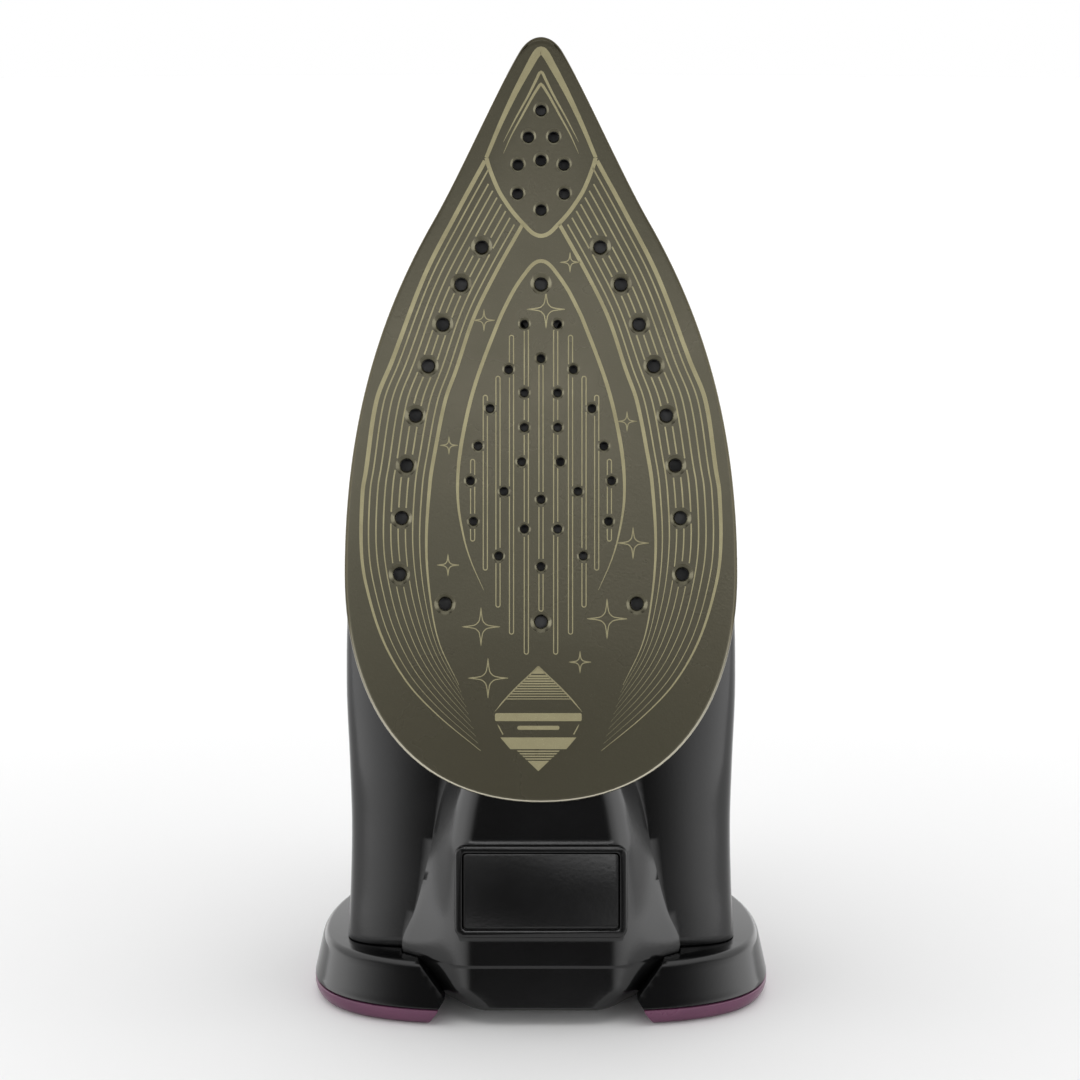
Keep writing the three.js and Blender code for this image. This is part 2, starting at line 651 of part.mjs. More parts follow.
function heelOutline(halfWidth, front, rear, perCurve = 12) {
  const middle = THREE.MathUtils.lerp(front, rear, 0.325);
  const shoulder = front + (middle - front) * 0.16;
  const hip = THREE.MathUtils.lerp(middle, rear, 0.56);
  const list = [
    [[0, front], [halfWidth * 0.65, front], [halfWidth, shoulder], [halfWidth, middle]],
    [[halfWidth, middle], [halfWidth, hip], [halfWidth * 0.57, rear], [0, rear]],
  ];
  return halfPoints(curvesOf(list, 1, 1, 0, standingY(0)), perCurve);
}

const heelFoot = { half: heelFootHalf, front: -4, rear: HEEL_DEPTH };
const heelRim = { half: heelRimHalf, front: 4, rear: HEEL_DEPTH - HEEL_FLARE };

function heelLoft(inset, z0, z1) {
  const ring = ({ half, front, rear }, z) =>
    mirrored(heelOutline(half - inset, front + inset, rear - inset))
      .getPoints()
      .slice(0, -1)
      .map((p) => new Vector3(p.x, p.y, z));
  const rings = [ring(heelFoot, z0), ring(heelRim, z1)];
  return skin(rings, rings[0].map((p) => new Vector2(p.x, p.y)));
}

const heelStart = PAD_HEIGHT + FIT;

// The room that the rear body leaves for the heel: all that lies under the rim's top.
function heelRimRoom() {
  const below = new THREE.BoxGeometry(FAR, FAR, HEEL_RIM_HEIGHT + FIT + 100).translate(
    0,
    0,
    (HEEL_RIM_HEIGHT + FIT - 100) / 2,
  );
  return cut(below.applyMatrix4(toIron), housing(FIT * 0.01, HOUSING_CLEARANCE));
}

// The room between the feet, which widens upwards along the housing's sides.
function heelGap() {
  const half = HEEL_GAP.map(([z, x]) => new Vector2(x, z));
  const shape = new THREE.Shape([...half, ...half.map((p) => new Vector2(-p.x, p.y)).reverse()]);
  const prism = new THREE.ExtrudeGeometry(shape, { depth: 60, bevelEnabled: false });
  return prism.rotateX(Math.PI / 2).translate(0, standingY(-4) + 30, 0);
}

function makeHeelBase() {
  const outside = heelLoft(0, heelStart, HEEL_RIM_HEIGHT);
  const inside = heelLoft(HEEL_WALL, heelStart - 4, HEEL_RIM_HEIGHT - HEEL_WALL);
  const ridge = housing(FIT + 0.25, -20).applyMatrix4(toStanding);
  const well = mirrored(heelOutline(BODY_HALF_WIDTH - 12, 44, HEEL_DEPTH - 24));
  const middle = new THREE.ExtrudeGeometry(well, { depth: 40, bevelEnabled: false });
  return cut(outside, inside, ridge, middle, heelGap());
}

function makeHeelCover() {
  const inset = HEEL_WALL + FIT;
  const lid = heelLoft(inset, heelStart - 4, HEEL_RIM_HEIGHT - HEEL_WALL);
  const ridge = housing(FIT + 0.25, -20).applyMatrix4(toStanding);
  const holes = heelScrews.map(([x, y]) => screwBore(x, y, heelStart - 1, heelStart + COVER_PLATE + 1));
  const layer = new THREE.BoxGeometry(FAR, FAR, COVER_PLATE).translate(0, 0, heelStart + COVER_PLATE / 2);
  const trimmed = common(lid, layer);
  return cut(trimmed, ridge, heelGap(), ...holes);
}

const heelScrews = [-1, 1].map((side) => [side * 30, standingY(HEEL_DEPTH * 0.62)]);

function screwBore(x, y, z0, z1) {
  return new THREE.CylinderGeometry(SCREW_RADIUS + FIT, SCREW_RADIUS + FIT, z1 - z0, 12)
    .rotateX(Math.PI / 2)
    .translate(x, y, (z0 + z1) / 2);
}

function heelScrew(x, y) {
  const head = new THREE.CylinderGeometry(SCREW_HEAD_RADIUS, SCREW_HEAD_RADIUS, 1.8, 14);
  const shank = new THREE.CylinderGeometry(SCREW_RADIUS, SCREW_RADIUS, 8, 10).translate(0, 4, 0);
  const slot = new THREE.BoxGeometry(4.4, 0.9, 0.9).translate(0, -0.7, 0);
  return cut(join(head, shank), slot)
    .rotateX(Math.PI / 2)
    .translate(x, y, heelStart - FIT - 0.9);
}

// One pad runs round each side of the heel, from the gap in front to near the middle of the back.
function makePad(side) {
  const { half, front, rear } = heelFoot;
  const outline = (inset) => heelOutline(half - inset, front + inset, rear - inset);
  const ring = (inset, z) => outline(inset).map((p) => new Vector3(p.x, p.y, z));
  const inner = outline(PAD_BAND).reverse();
  const rings = [
    [PAD_TAPER, 0],
    [0.4, PAD_HEIGHT * 0.45],
    [0, PAD_HEIGHT],
  ].map(([inset, z]) => [...ring(inset, z), ...inner.map((p) => new Vector3(p.x, p.y, z))]);
  const band = skin(rings, rings[0].map((p) => new Vector2(p.x, p.y)));
  const rearGap = block(2 * 14, 60, 60, 0, standingY(HEEL_DEPTH), 0);
  const pad = cut(band, heelGap(), rearGap);
  if (side > 0) return pad;
  return geometryOf(solidOf(pad).mirror([1, 0, 0]));
}

add("rear_body", makeRearBody(), "black_plastic");
add("rating_plate", ratingPlate(), "matte_black");
add("heel_base", makeHeelBase(), "black_plastic", standing);
add("heel_cover", makeHeelCover(), "matte_black", standing);
add("heel_pad_left", makePad(-1), "plum", standing);
add("heel_pad_right", makePad(1), "plum", standing);
heelScrews.forEach(([x, y], k) => add(`heel_screw_${k + 1}`, heelScrew(x, y), "steel", standing));

// ---------------------------------------------------------------- water tank
// The filler's own frame stands on the tank's nose: y outwards, z down the slope to the tip.
const fillerZ = SOLE_LENGTH * 0.857;
const fillerSlope = Math.atan2(
  bodyTopAt(fillerZ - FILLER_LENGTH / 2) - bodyTopAt(fillerZ + FILLER_LENGTH / 2),
  FILLER_LENGTH,
);
const fillerFrame = new Matrix4()
  .makeRotationX(fillerSlope)
  .setPosition(0, bodyTopAt(fillerZ) + 0.6, fillerZ);
const onFiller = (geometry) => geometry.applyMatrix4(fillerFrame);
const doorBottom = -DOOR_THICKNESS;
const knuckleZ = -FILLER_LENGTH / 2 + KNUCKLE_RADIUS;
const knuckleY = -0.4;
const doorRear = knuckleZ + 0.6;
const sealRoom = 0.9;

// A cylinder along x.
function bar(radius, x0, x1, y, z, sides = 14) {
  return new THREE.CylinderGeometry(radius, radius, x1 - x0, sides)
    .rotateZ(Math.PI / 2)
    .translate((x0 + x1) / 2, y, z);
}

const dipHole = { x: 8, z: SOLE_LENGTH * 0.665 };

function makeTank() {
  const outside = common(bodyHull(0), slab(splitShape(FIT / 2, true), 90));
  const inside = common(bodyHull(TANK_WALL), slab(splitShape(FIT / 2 + TANK_WALL, true), 90));
  const [w, l] = [FILLER_WIDTH + 3.4, FILLER_LENGTH + 3.4];
  const neckBottom = -DOOR_THICKNESS - FILLER_NECK_RISE;
  const neck = onFiller(plate(roundedRectangle(w, l, 4), neckBottom, 0.2, { segments: 4 }));
  const trayShape = roundedRectangle(FILLER_WIDTH + 2 * FIT, FILLER_LENGTH + 2 * FIT, 3);
  const tray = onFiller(plate(trayShape, doorBottom - FIT, 9, { segments: 4 }));
  const mouth = onFiller(
    plate(roundedRectangle(FILLER_MOUTH_WIDTH, FILLER_MOUTH_LENGTH, 3), -14, 1, { segments: 4 }),
  );
  mouth.translate(0, 0, 1.4);
  const lugs = [-1, 1].map((side) => {
    const x = side * (KNUCKLE_WIDTH / 2 + FIT + LUG_WIDTH / 2);
    const round = bar(KNUCKLE_RADIUS - 0.3, x - LUG_WIDTH / 2, x + LUG_WIDTH / 2, knuckleY, knuckleZ, 12);
    const foot = block(LUG_WIDTH, 3, 2 * KNUCKLE_RADIUS - 0.6, x, doorBottom - 0.2, knuckleZ);
    return onFiller(join(round, foot));
  });
  const reach = FILLER_WIDTH / 2;
  const pinHole = onFiller(bar(HINGE_PIN_RADIUS + 0.3, -reach, reach, knuckleY, knuckleZ));
  const valveHole = rod(6 + FIT, SKIRT_TOP - 2, SKIRT_TOP + 8, 0, valveZ, 20);
  const rodHole = rod(2, SADDLE * 0.7, SADDLE * 1.2, 0, valveZ, 12);
  const dip = rod(2.4, SADDLE * 0.7, SADDLE * 1.2, dipHole.x, dipHole.z, 12);
  const shell = cut(outside, inside);
  const topped = join(cut(join(shell, neck), tray), ...lugs);
  return cut(topped, mouth, pinHole, valveHole, rodHole, dip);
}

function makeDoor() {
  const length = FILLER_LENGTH / 2 - doorRear;
  const leaf = plate(roundedRectangle(FILLER_WIDTH, length, 2.4), doorBottom, 0, { bevel: 0.4, segments: 4 });
  leaf.translate(0, 0, doorRear + length / 2);
  const knuckle = bar(KNUCKLE_RADIUS, -KNUCKLE_WIDTH / 2, KNUCKLE_WIDTH / 2, knuckleY, knuckleZ, 16);
  const arm = block(KNUCKLE_WIDTH, 1.6, 3, 0, doorBottom + 1.2, doorRear + 1);
  const lift = block(FILLER_WIDTH * 0.5, 0.8, 1.4, 0, 0.2, FILLER_LENGTH / 2 - 2);
  const roomForLugs = [-1, 1].map((side) => {
    const x = side * (KNUCKLE_WIDTH / 2 + FIT + LUG_WIDTH / 2);
    return block(LUG_WIDTH + 2 * FIT, 9, 2 * KNUCKLE_RADIUS + 1, x, 0, knuckleZ);
  });
  const bore = bar(HINGE_PIN_RADIUS + 0.3, -9, 9, knuckleY, knuckleZ);
  return onFiller(cut(join(leaf, knuckle, arm, lift), ...roomForLugs, bore));
}

function makeFillerSeal() {
  const [w, l] = [FILLER_MOUTH_WIDTH - 2 * sealRoom, FILLER_MOUTH_LENGTH - 2 * sealRoom];
  const ring = roundedRectangle(w, l, 2.2);
  ring.holes.push(roundedRectangle(w - 3.4, l - 3.4, 1.2));
  const seal = plate(ring, doorBottom - FIT - 1.6, doorBottom - 0.3, { segments: 4 });
  return onFiller(seal.translate(0, 0, 1.4));
}

add("water_tank", makeTank(), "tank");
add("filler_door", makeDoor(), "plum");
add("filler_seal", makeFillerSeal(), "silicone");
const pinHalf = KNUCKLE_WIDTH / 2 + FIT + LUG_WIDTH;
add("filler_pin", onFiller(bar(HINGE_PIN_RADIUS, -pinHalf, pinHalf, knuckleY, knuckleZ)), "steel");

// ---------------------------------------------------------------- drip valve
const tankFloor = SKIRT_TOP + FIT + TANK_WALL;
const valveSealTop = tankFloor + FIT + 1.1;
const valveSeatTop = valveSealTop + FIT + 1.6;

function makeValveSeat() {
  return turned([
    [VALVE_BORE, coverStart - 1],
    [3.4, coverStart - 1],
    [3.4, coverTop + 1.2],
    [6, coverTop + 1.2],
    [6, valveSealTop + FIT],
    [8.4, valveSealTop + FIT],
    [8.4, valveSeatTop],
    [VALVE_BORE + 1.6, valveSeatTop],
    [VALVE_BORE, valveSeatTop - 1.6],
    [VALVE_BORE, coverStart - 1],
  ]).translate(0, 0, valveZ);
}

function makeValveSeal() {
  const flat = [[6.3, tankFloor + FIT], [8.6, tankFloor + FIT], [8.6, valveSealTop], [6.3, valveSealTop]];
  return turned([...flat, flat[0]]).translate(0, 0, valveZ);
}

add("valve_seat", solidly(makeValveSeat()), "brass");
add("valve_seal", solidly(makeValveSeal()), "silicone");

// ---------------------------------------------------------------- handle
// The path of the handle from the tank's nose over the grip to the rear: [z, y, half thickness,
// half width], in shares of the sole's length and the iron's height.
const HANDLE_PATH = [
  [0.7, 0.36, 0.112, 0.17],
  [0.7, 0.56, 0.112, 0.172],
  [0.69, 0.72, 0.118, 0.176],
  [0.64, 0.835, 0.112, 0.178],
  [0.51, 0.895, 0.095, 0.165],
  [0.35, 0.909, 0.091, 0.156],
  [0.17, 0.885, 0.093, 0.158],
  [0.035, 0.805, 0.1, 0.168],
  [-0.06, 0.68, 0.12, 0.2],
  [-0.1, 0.54, 0.14, 0.26],
].map(([z, y, thick, wide]) => ({
  z: z * SOLE_LENGTH,
  y: y * IRON_HEIGHT,
  thick: thick * IRON_HEIGHT,
  wide: wide * SOLE_HALF_WIDTH * 2,
}));
const handleCurve = new THREE.CatmullRomCurve3(HANDLE_PATH.map((p) => new Vector3(0, p.y, p.z)));
const handleSizes = new THREE.CatmullRomCurve3(HANDLE_PATH.map((p) => new Vector3(p.thick, p.wide, 0)));

// The outward side of the handle's path at a share t along it.
function handleNormal(t) {
  const tangent = handleCurve.getTangent(t);
  return new Vector3(0, -tangent.z, tangent.y).normalize();
}

function handleSolid(inset, count = inset > 0 ? 12 : 14, steps = HANDLE_STEPS) {
  const rings = Array.from({ length: steps + 1 }, (_, k) => {
    const t = k / steps;
    const [centre, size, out] = [handleCurve.getPoint(t), handleSizes.getPoint(t), handleNormal(t)];
    return Array.from({ length: count }, (_, i) => {
      const angle = (2 * Math.PI * i) / count;
      const across = (size.y - inset) * signedPower(Math.cos(angle), 2 / 2.5);
      const away = (size.x - inset) * signedPower(Math.sin(angle), 2 / 2.5);
      return centre.clone().addScaledVector(out, away).add(new Vector3(across, 0, 0));
    });
  });
  const outline = Array.from({ length: count }, (_, i) => {
    const angle = (2 * Math.PI * i) / count;
    return new Vector2(signedPower(Math.cos(angle), 2 / 2.5), signedPower(Math.sin(angle), 2 / 2.5));
  });
  return skin(rings, outline);
}

// The part of the iron outside the handle's path, or inside it, drawn back by half a fit.
function handleSide(outside, from = 0, to = 1) {
  const shift = outside ? FIT / 2 : -FIT / 2;
  const line = Array.from({ length: HANDLE_STEPS + 1 }, (_, k) => {
    const t = THREE.MathUtils.lerp(from, to, k / HANDLE_STEPS);
    const p = handleCurve.getPoint(t).addScaledVector(handleNormal(t), shift);
    return new Vector2(p.z, p.y);
  });
  const [first, last] = [line[0], line[line.length - 1]];
  const far = IRON_HEIGHT * 1.6;
  const around = [[-far, last.y], [-far, far], [far * 1.3, far], [far * 1.3, first.y]];
  const under = [[last.x, 0], [first.x, 0]];
  const closing = (outside ? around : under).map(([z, y]) => new Vector2(z, y));
  return slab(new THREE.Shape([...line, ...closing]), 60);
}

const deckZ = SOLE_LENGTH * 0.69;
const deckTop = IRON_HEIGHT * 0.925;
const buttonBottom = deckTop - 6;
const pocketFloor = buttonBottom - BUTTON_TRAVEL - 1; // a pressed button still hangs free
const buttonX = BUTTON_WIDTH / 2 + 1.2;
const sliderRestZ = SOLE_LENGTH * 0.475;
const sliderMidZ = sliderRestZ + SLIDER_TRAVEL / 2;
const lensZ = SOLE_LENGTH * 0.605;

// The height of the handle's top surface over a place z along the grip.
function handleTopAt(z) {
  const surface = Array.from({ length: 121 }, (_, k) => 0.25 + (0.5 * k) / 120).map((t) =>
    handleCurve.getPoint(t).addScaledVector(handleNormal(t), handleSizes.getPoint(t).x),
  );
  return surface.reduce((best, p) => (Math.abs(p.z - z) < Math.abs(best.z - z) ? p : best)).y;
}
const sliderSeatY = handleTopAt(sliderRestZ + SLIDER_TRAVEL + SLIDER_LENGTH / 2) - 0.6;

// The cord leaves at the rear upwards and backwards: y in this frame is its way out.
const cordFrame = new Matrix4()
  .makeRotationX(-Math.PI / 4)
  .setPosition(0, IRON_HEIGHT * 0.79, SOLE_LENGTH * 0.005);
const onCord = (geometry) => geometry.applyMatrix4(cordFrame);
const cordRingInner = CORD_BALL_RADIUS + FIT;
const cordRingOuter = cordRingInner + CORD_RING_WALL;
const cordBossRadius = cordRingOuter + FIT + 2;
const cordBossFrom = CORD_OUT - CORD_RING_HALF - 2.4;
const cordBossTo = CORD_OUT + CORD_RING_HALF + 0.6;

function headBlock(inset) {
  const outline = roundedRectangle(DECK_WIDTH - 2 * inset, DECK_LENGTH - 2 * inset, 6 - inset);
  return plate(outline, deckTop - DECK_DEPTH, deckTop - inset, { segments: 3 }).translate(0, 0, deckZ);
}

const rimRoom = () => belowHeight(HEEL_RIM_HEIGHT + FIT);

function makeHandleUpper() {
  const whole = join(common(handleSolid(0), handleSide(true)), headBlock(0));
  const hollow = join(handleSolid(WALL), headBlock(WALL));
  const boss = onCord(rod(cordBossRadius, cordBossFrom, cordBossTo, 0, 0, 20));
  const roomFrom = CORD_OUT - CORD_RING_HALF - FIT;
  const bossRoom = onCord(rod(cordRingOuter + FIT, roomFrom, cordBossTo + 40, 0, 0, 20));
  const bossBore = onCord(rod(cordRingInner - 1, cordBossFrom - 6, cordBossTo, 0, 0, 20));
  const above = block(DECK_WIDTH + 30, 40, 2 * DECK_LENGTH, 0, deckTop + 20, deckZ + DECK_LENGTH / 2 + 1);
  const pockets = [-1, 1].map((side) =>
    plate(roundedRectangle(BUTTON_WIDTH + 2 * FIT, BUTTON_LENGTH + 2 * FIT, 4), pocketFloor, deckTop + 3, {
      segments: 3,
    }).translate(side * buttonX, 0, deckZ),
  );
  const slotLength = SLIDER_TRAVEL + SLIDER_STEM + 2 * FIT;
  const slot = block(SLIDER_STEM + 2 * FIT, 30, slotLength, 0, sliderSeatY - 5, sliderMidZ);
  const seatLength = SLIDER_LENGTH + SLIDER_TRAVEL + 2;
  const seat = block(SLIDER_WIDTH + 2, 20, seatLength, 0, sliderSeatY + 10, sliderMidZ);
  const lensHole = rod(LENS_RADIUS + FIT, IRON_HEIGHT * 0.8, IRON_HEIGHT * 1.1, 0, lensZ, 12);
  const shell = join(cut(whole, hollow), boss);
  const openings = [above, ...pockets, slot, seat, lensHole, bossRoom, bossBore];
  return cut(shell, ...openings, bodyHull(-FIT), rimRoom());
}

const nozzleY = IRON_HEIGHT * 0.58;
const nozzleFront = SOLE_LENGTH * 0.7 + IRON_HEIGHT * 0.112 + 2.4;

// A cylinder along the iron's length, from z0 to z1.
function dowel(radius, z0, z1, x, y, sides = 16) {
  return new THREE.CylinderGeometry(radius, radius, z1 - z0, sides)
    .rotateX(Math.PI / 2)
    .translate(x, y, (z0 + z1) / 2);
}

function makeHandleLower() {
  const whole = common(handleSolid(0), handleSide(false));
  const boss = onCord(rod(cordBossRadius + FIT, cordBossFrom - FIT, cordBossTo, 0, 0, 20));
  return cut(whole, handleSolid(WALL), boss, bodyHull(-FIT), rimRoom());
}

add("handle_lower", makeHandleLower(), "black_plastic");
const nozzleRoom = dowel(NOZZLE_RADIUS + FIT, nozzleFront - 16, nozzleFront + 9, 0, nozzleY);
add("handle_upper", cut(makeHandleUpper(), nozzleRoom), "black_plastic");

function makeGrip() {
  const rear = SOLE_LENGTH * 0.05;
  const front = SOLE_LENGTH * 0.42;
  const stretch = block(90, 90, front - rear, 0, IRON_HEIGHT, (front + rear) / 2);
  const skinned = common(common(handleSolid(-GRIP_PROUD), stretch), handleSide(true));
  const boss = onCord(rod(cordBossRadius + FIT, cordBossFrom, cordBossTo + 20, 0, 0, 20));
  return cut(skinned, handleSolid(-FIT), boss);
}
add("soft_grip", makeGrip(), "grip");

// ---------------------------------------------------------------- dial
function makeDial() {
  const profile = [
    [0, dialBottomY + 5], [DIAL_SHAFT_RADIUS + FIT, dialBottomY + 5], [DIAL_SHAFT_RADIUS + FIT, dialBottomY],
    [DIAL_RADIUS, dialBottomY], [DIAL_RADIUS, dialTopY - 2], [DIAL_RADIUS - 1.6, dialTopY], [0, dialTopY],
  ];
  const ridge = block(3, 3, DIAL_RADIUS * 0.7, 0, dialTopY - 0.3, DIAL_RADIUS * 0.5);
  return join(turned(profile, 24), ridge).translate(0, 0, dialZ);
}
const dialBottomY = dialTopY - DIAL_HEIGHT;
add("temperature_dial", makeDial(), "plum");
const dialShaft = rod(DIAL_SHAFT_RADIUS, thermostatTop - 3 + FIT, dialBottomY + 5 - FIT, 0, dialZ, 14);
add("dial_shaft", dialShaft, "white_plastic");

// ---------------------------------------------------------------- spray and steam pumps
const cylinderTop = deckTop - 13;
const cylinderBottom = deckTop - 36;
const cylinderBore = PISTON_RADIUS + FIT;
const pistonTop = cylinderTop - 2;
const pistonBottom = pistonTop - 6;

function makeCylinder(x) {
  return turned([
    [1.2, cylinderBottom - 5], [2.2, cylinderBottom - 5], [2.2, cylinderBottom],
    [cylinderBore + PUMP_WALL, cylinderBottom], [cylinderBore + PUMP_WALL, cylinderTop],
    [cylinderBore, cylinderTop], [cylinderBore, cylinderBottom + 2], [1.2, cylinderBottom + 2],
    [1.2, cylinderBottom - 5],
  ], 12).translate(x, 0, deckZ);
}

function makePiston(x) {
  return turned([
    [0, pistonBottom], [PISTON_RADIUS, pistonBottom], [PISTON_RADIUS, pistonTop], [1.8, pistonTop],
    [1.8, buttonBottom - FIT], [0, buttonBottom - FIT],
  ], 12).translate(x, 0, deckZ);
}

function makeSpring(x) {
  const [turns, wire, radius] = [4, 0.5, PISTON_RADIUS - 1.3];
  const [low, high] = [cylinderBottom + 2 + FIT + wire, pistonBottom - FIT - wire];
  const points = Array.from({ length: turns * 8 + 1 }, (_, k) => {
    const angle = (k / 8) * 2 * Math.PI;
    const y = THREE.MathUtils.lerp(low, high, k / (turns * 8));
    return new Vector3(x + radius * Math.cos(angle), y, deckZ + radius * Math.sin(angle));
  });
  return tube(points, wire, 2, turns * 9);
}

function makeButton(x) {
  const shape = roundedRectangle(BUTTON_WIDTH, BUTTON_LENGTH, 3.6);
  const cap = plate(shape, buttonBottom, deckTop + BUTTON_PROUD, { bevel: 0.8, segments: 3 });
  return cap.translate(x, 0, deckZ);
}

const pumps = [["spray", -1], ["steam", 1]];
for (const [name, side] of pumps) {
  const x = side * buttonX;
  add(`${name}_button`, makeButton(x), "plum");
  add(`${name}_piston`, makePiston(x), "white_plastic");
  add(`${name}_spring`, makeSpring(x), "steel");
  add(`${name}_cylinder`, makeCylinder(x), "white_plastic");
}

const nozzleTail = nozzleFront - 9;
add(
  "spray_nozzle",
  cut(
    join(
      dowel(NOZZLE_RADIUS, nozzleTail, nozzleFront, 0, nozzleY, 18),
      dowel(1.8, nozzleTail - 4, nozzleTail + 1, 0, nozzleY, 10),
    ),
    dowel(0.5, nozzleTail - 5, nozzleFront + 1, 0, nozzleY, 6),
  ),
  "brass",
);
const hoseStart = cylinderBottom - 5 - FIT;
add(
  "spray_hose",
  tube(
    [
      new Vector3(-buttonX, hoseStart, deckZ),
      new Vector3(-buttonX, hoseStart - 3, deckZ),
      new Vector3(-buttonX * 0.8, nozzleY + 2, deckZ + 3),
      new Vector3(-1, nozzleY, nozzleTail - 8),
      new Vector3(0, nozzleY, nozzleTail - 4 - FIT),
    ],
    1.7,
    2,
    12,
  ),
  "silicone",
);
add(
  "pickup_hose",
  tube(
    [
      new Vector3(buttonX, hoseStart, deckZ),
      new Vector3(buttonX, hoseStart - 3, deckZ),
      new Vector3(dipHole.x, hoseStart - 14, dipHole.z),
      new Vector3(dipHole.x, SADDLE, dipHole.z),
      new Vector3(dipHole.x, tankFloor + 4, dipHole.z - 2),
    ],
    1.7,
    2,
    14,
  ),
  "silicone",
);

// ---------------------------------------------------------------- steam slider and drip rod
const linkTop = sliderSeatY - 17;
const linkTip = sliderRestZ + (valveZ - sliderRestZ) + 1.5;

function makeSlider() {
  const low = sliderSeatY + FIT;
  const shape = roundedRectangle(SLIDER_WIDTH, SLIDER_LENGTH, 3);
  const cap = plate(shape, low, low + SLIDER_HEIGHT, { bevel: 0.8, segments: 3 });
  const rib = block(SLIDER_WIDTH * 0.7, 1.6, 1.6, 0, low + SLIDER_HEIGHT, 0);
  const stem = block(SLIDER_STEM, low + 1 - linkTop, SLIDER_STEM, 0, (low + 1 + linkTop) / 2, 0);
  return join(cap, rib, stem).translate(0, 0, sliderRestZ);
}

// The bar under the slider; its sloping lower edge lets the rod rise as the bar comes forward.
function makeLink() {
  const shape = new THREE.Shape();
  const [rear, low] = [sliderRestZ - 3, linkTop - LINK_HEIGHT];
  const rampStart = linkTip - SLIDER_TRAVEL - 3;
  const high = low + (VALVE_LIFT * (linkTip - rampStart)) / SLIDER_TRAVEL;
  shape.moveTo(rear, linkTop - FIT).lineTo(rear, high).lineTo(rampStart, high);
  shape.lineTo(linkTip, low).lineTo(linkTip, linkTop - FIT);
  return slab(shape, LINK_THICKNESS / 2);
}

add("steam_slider", makeSlider(), "plum");
add("valve_link", makeLink(), "white_plastic");
const rodTop = linkTop - LINK_HEIGHT - FIT;
add("valve_rod", rod(VALVE_ROD_RADIUS, valveSeatTop - 5, rodTop, 0, valveZ, 10), "steel");

// ---------------------------------------------------------------- wiring in the handle
const boardY = IRON_HEIGHT * 0.9;
const boardZ = SOLE_LENGTH * 0.27;
add("control_board", block(24, 1.6, 46, 0, boardY, boardZ), "circuit");
add("tilt_switch", block(8, 5, 12, -5, boardY + 0.8 + FIT + 2.5, boardZ), "white_plastic");
add(
  "indicator_lens",
  rod(LENS_RADIUS, handleTopAt(lensZ) - WALL - 2, handleTopAt(lensZ) + 0.6, 0, lensZ, 12),
  "lens",
);
const terminalZ = SOLE_LENGTH * 0.08;
const terminalY = IRON_HEIGHT * 0.83;
add("terminal_block", block(18, 7, 9, 0, terminalY, terminalZ), "white_plastic");
for (const side of [-1, 1]) {
  const points = [
    [6, terminalY - 3.5 - FIT, terminalZ],
    [6, terminalY - 9, terminalZ - 1],
    [4, IRON_HEIGHT * 0.69, -5],
    [4.5, IRON_HEIGHT * 0.58, -4],
    [12, IRON_HEIGHT * 0.44, 2],
    [13, IRON_HEIGHT * 0.3, 14],
    [13, SKIRT_TOP + 8, leadSlotZ - 2],
    [13, SKIRT_TOP - 1.5, leadSlotZ],
  ].map(([x, y, z]) => new Vector3(side * x, y, z));
  add(`lead_${side < 0 ? "left" : "right"}`, tube(points, 1.1, 2, 18), "silicone");
}

// ---------------------------------------------------------------- cord inlet
function makeCordRing() {
  const arc = Array.from({ length: 6 }, (_, k) => {
    const h = THREE.MathUtils.lerp(-CORD_RING_HALF, CORD_RING_HALF, k / 5);
    return [Math.sqrt(cordRingInner ** 2 - h ** 2), h + CORD_OUT];
  });
  const outer = [
    [cordRingOuter, CORD_OUT + CORD_RING_HALF],
    [cordRingOuter, CORD_OUT - CORD_RING_HALF],
  ];
  return onCord(turned([...arc, ...outer, arc[0]].reverse(), 20));
}

function makeCordBall() {
  const arc = Array.from({ length: 8 }, (_, k) => {
    const h = THREE.MathUtils.lerp(-7.4, 7.2, k / 7);
    return [Math.sqrt(CORD_BALL_RADIUS ** 2 - h ** 2), h + CORD_OUT];
  });
  const neck = [
    [CORD_BORE_RADIUS + 1.6, CORD_OUT + CORD_NECK],
    [CORD_BORE_RADIUS, CORD_OUT + CORD_NECK],
    [CORD_BORE_RADIUS, CORD_OUT - 7.4],
  ];
  return onCord(turned([...arc, [CORD_BORE_RADIUS + 1.6, CORD_OUT + 8.6], ...neck, arc[0]], 20));
}

add("cord_collar", solidly(makeCordRing()), "matte_black");
add("cord_ball", solidly(makeCordBall()), "black_plastic");

// The whole is centred on its own width and depth, with the floor at Z = 0.
standing.add(iron);
standing.updateMatrixWorld(true);
const extent = new THREE.Box3().setFromObject(standing, true);
standing.position.y = -(extent.min.y + extent.max.y) / 2;
const part = new THREE.Group();
part.name = "steam_iron";
part.add(standing);
export default part;
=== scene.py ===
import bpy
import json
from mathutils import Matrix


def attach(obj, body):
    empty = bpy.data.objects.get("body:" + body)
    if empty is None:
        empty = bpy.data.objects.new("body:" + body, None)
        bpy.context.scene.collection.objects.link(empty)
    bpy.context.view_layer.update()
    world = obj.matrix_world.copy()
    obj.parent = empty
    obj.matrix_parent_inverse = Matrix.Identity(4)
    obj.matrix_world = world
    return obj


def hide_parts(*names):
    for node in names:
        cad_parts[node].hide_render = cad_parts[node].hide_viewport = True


bl_info = {
    "name": "Steam Iron",
    "version": (1, 0, 0),
    "blender": (4, 5, 0),
    "location": "3D View > Sidebar > Steam Iron",
    "description": "Builds the finished look of a steam iron standing on its heel, round its fixed frame",
    "category": "Add Mesh",
}

import json
import math

import bmesh
import bpy
from mathutils import Vector

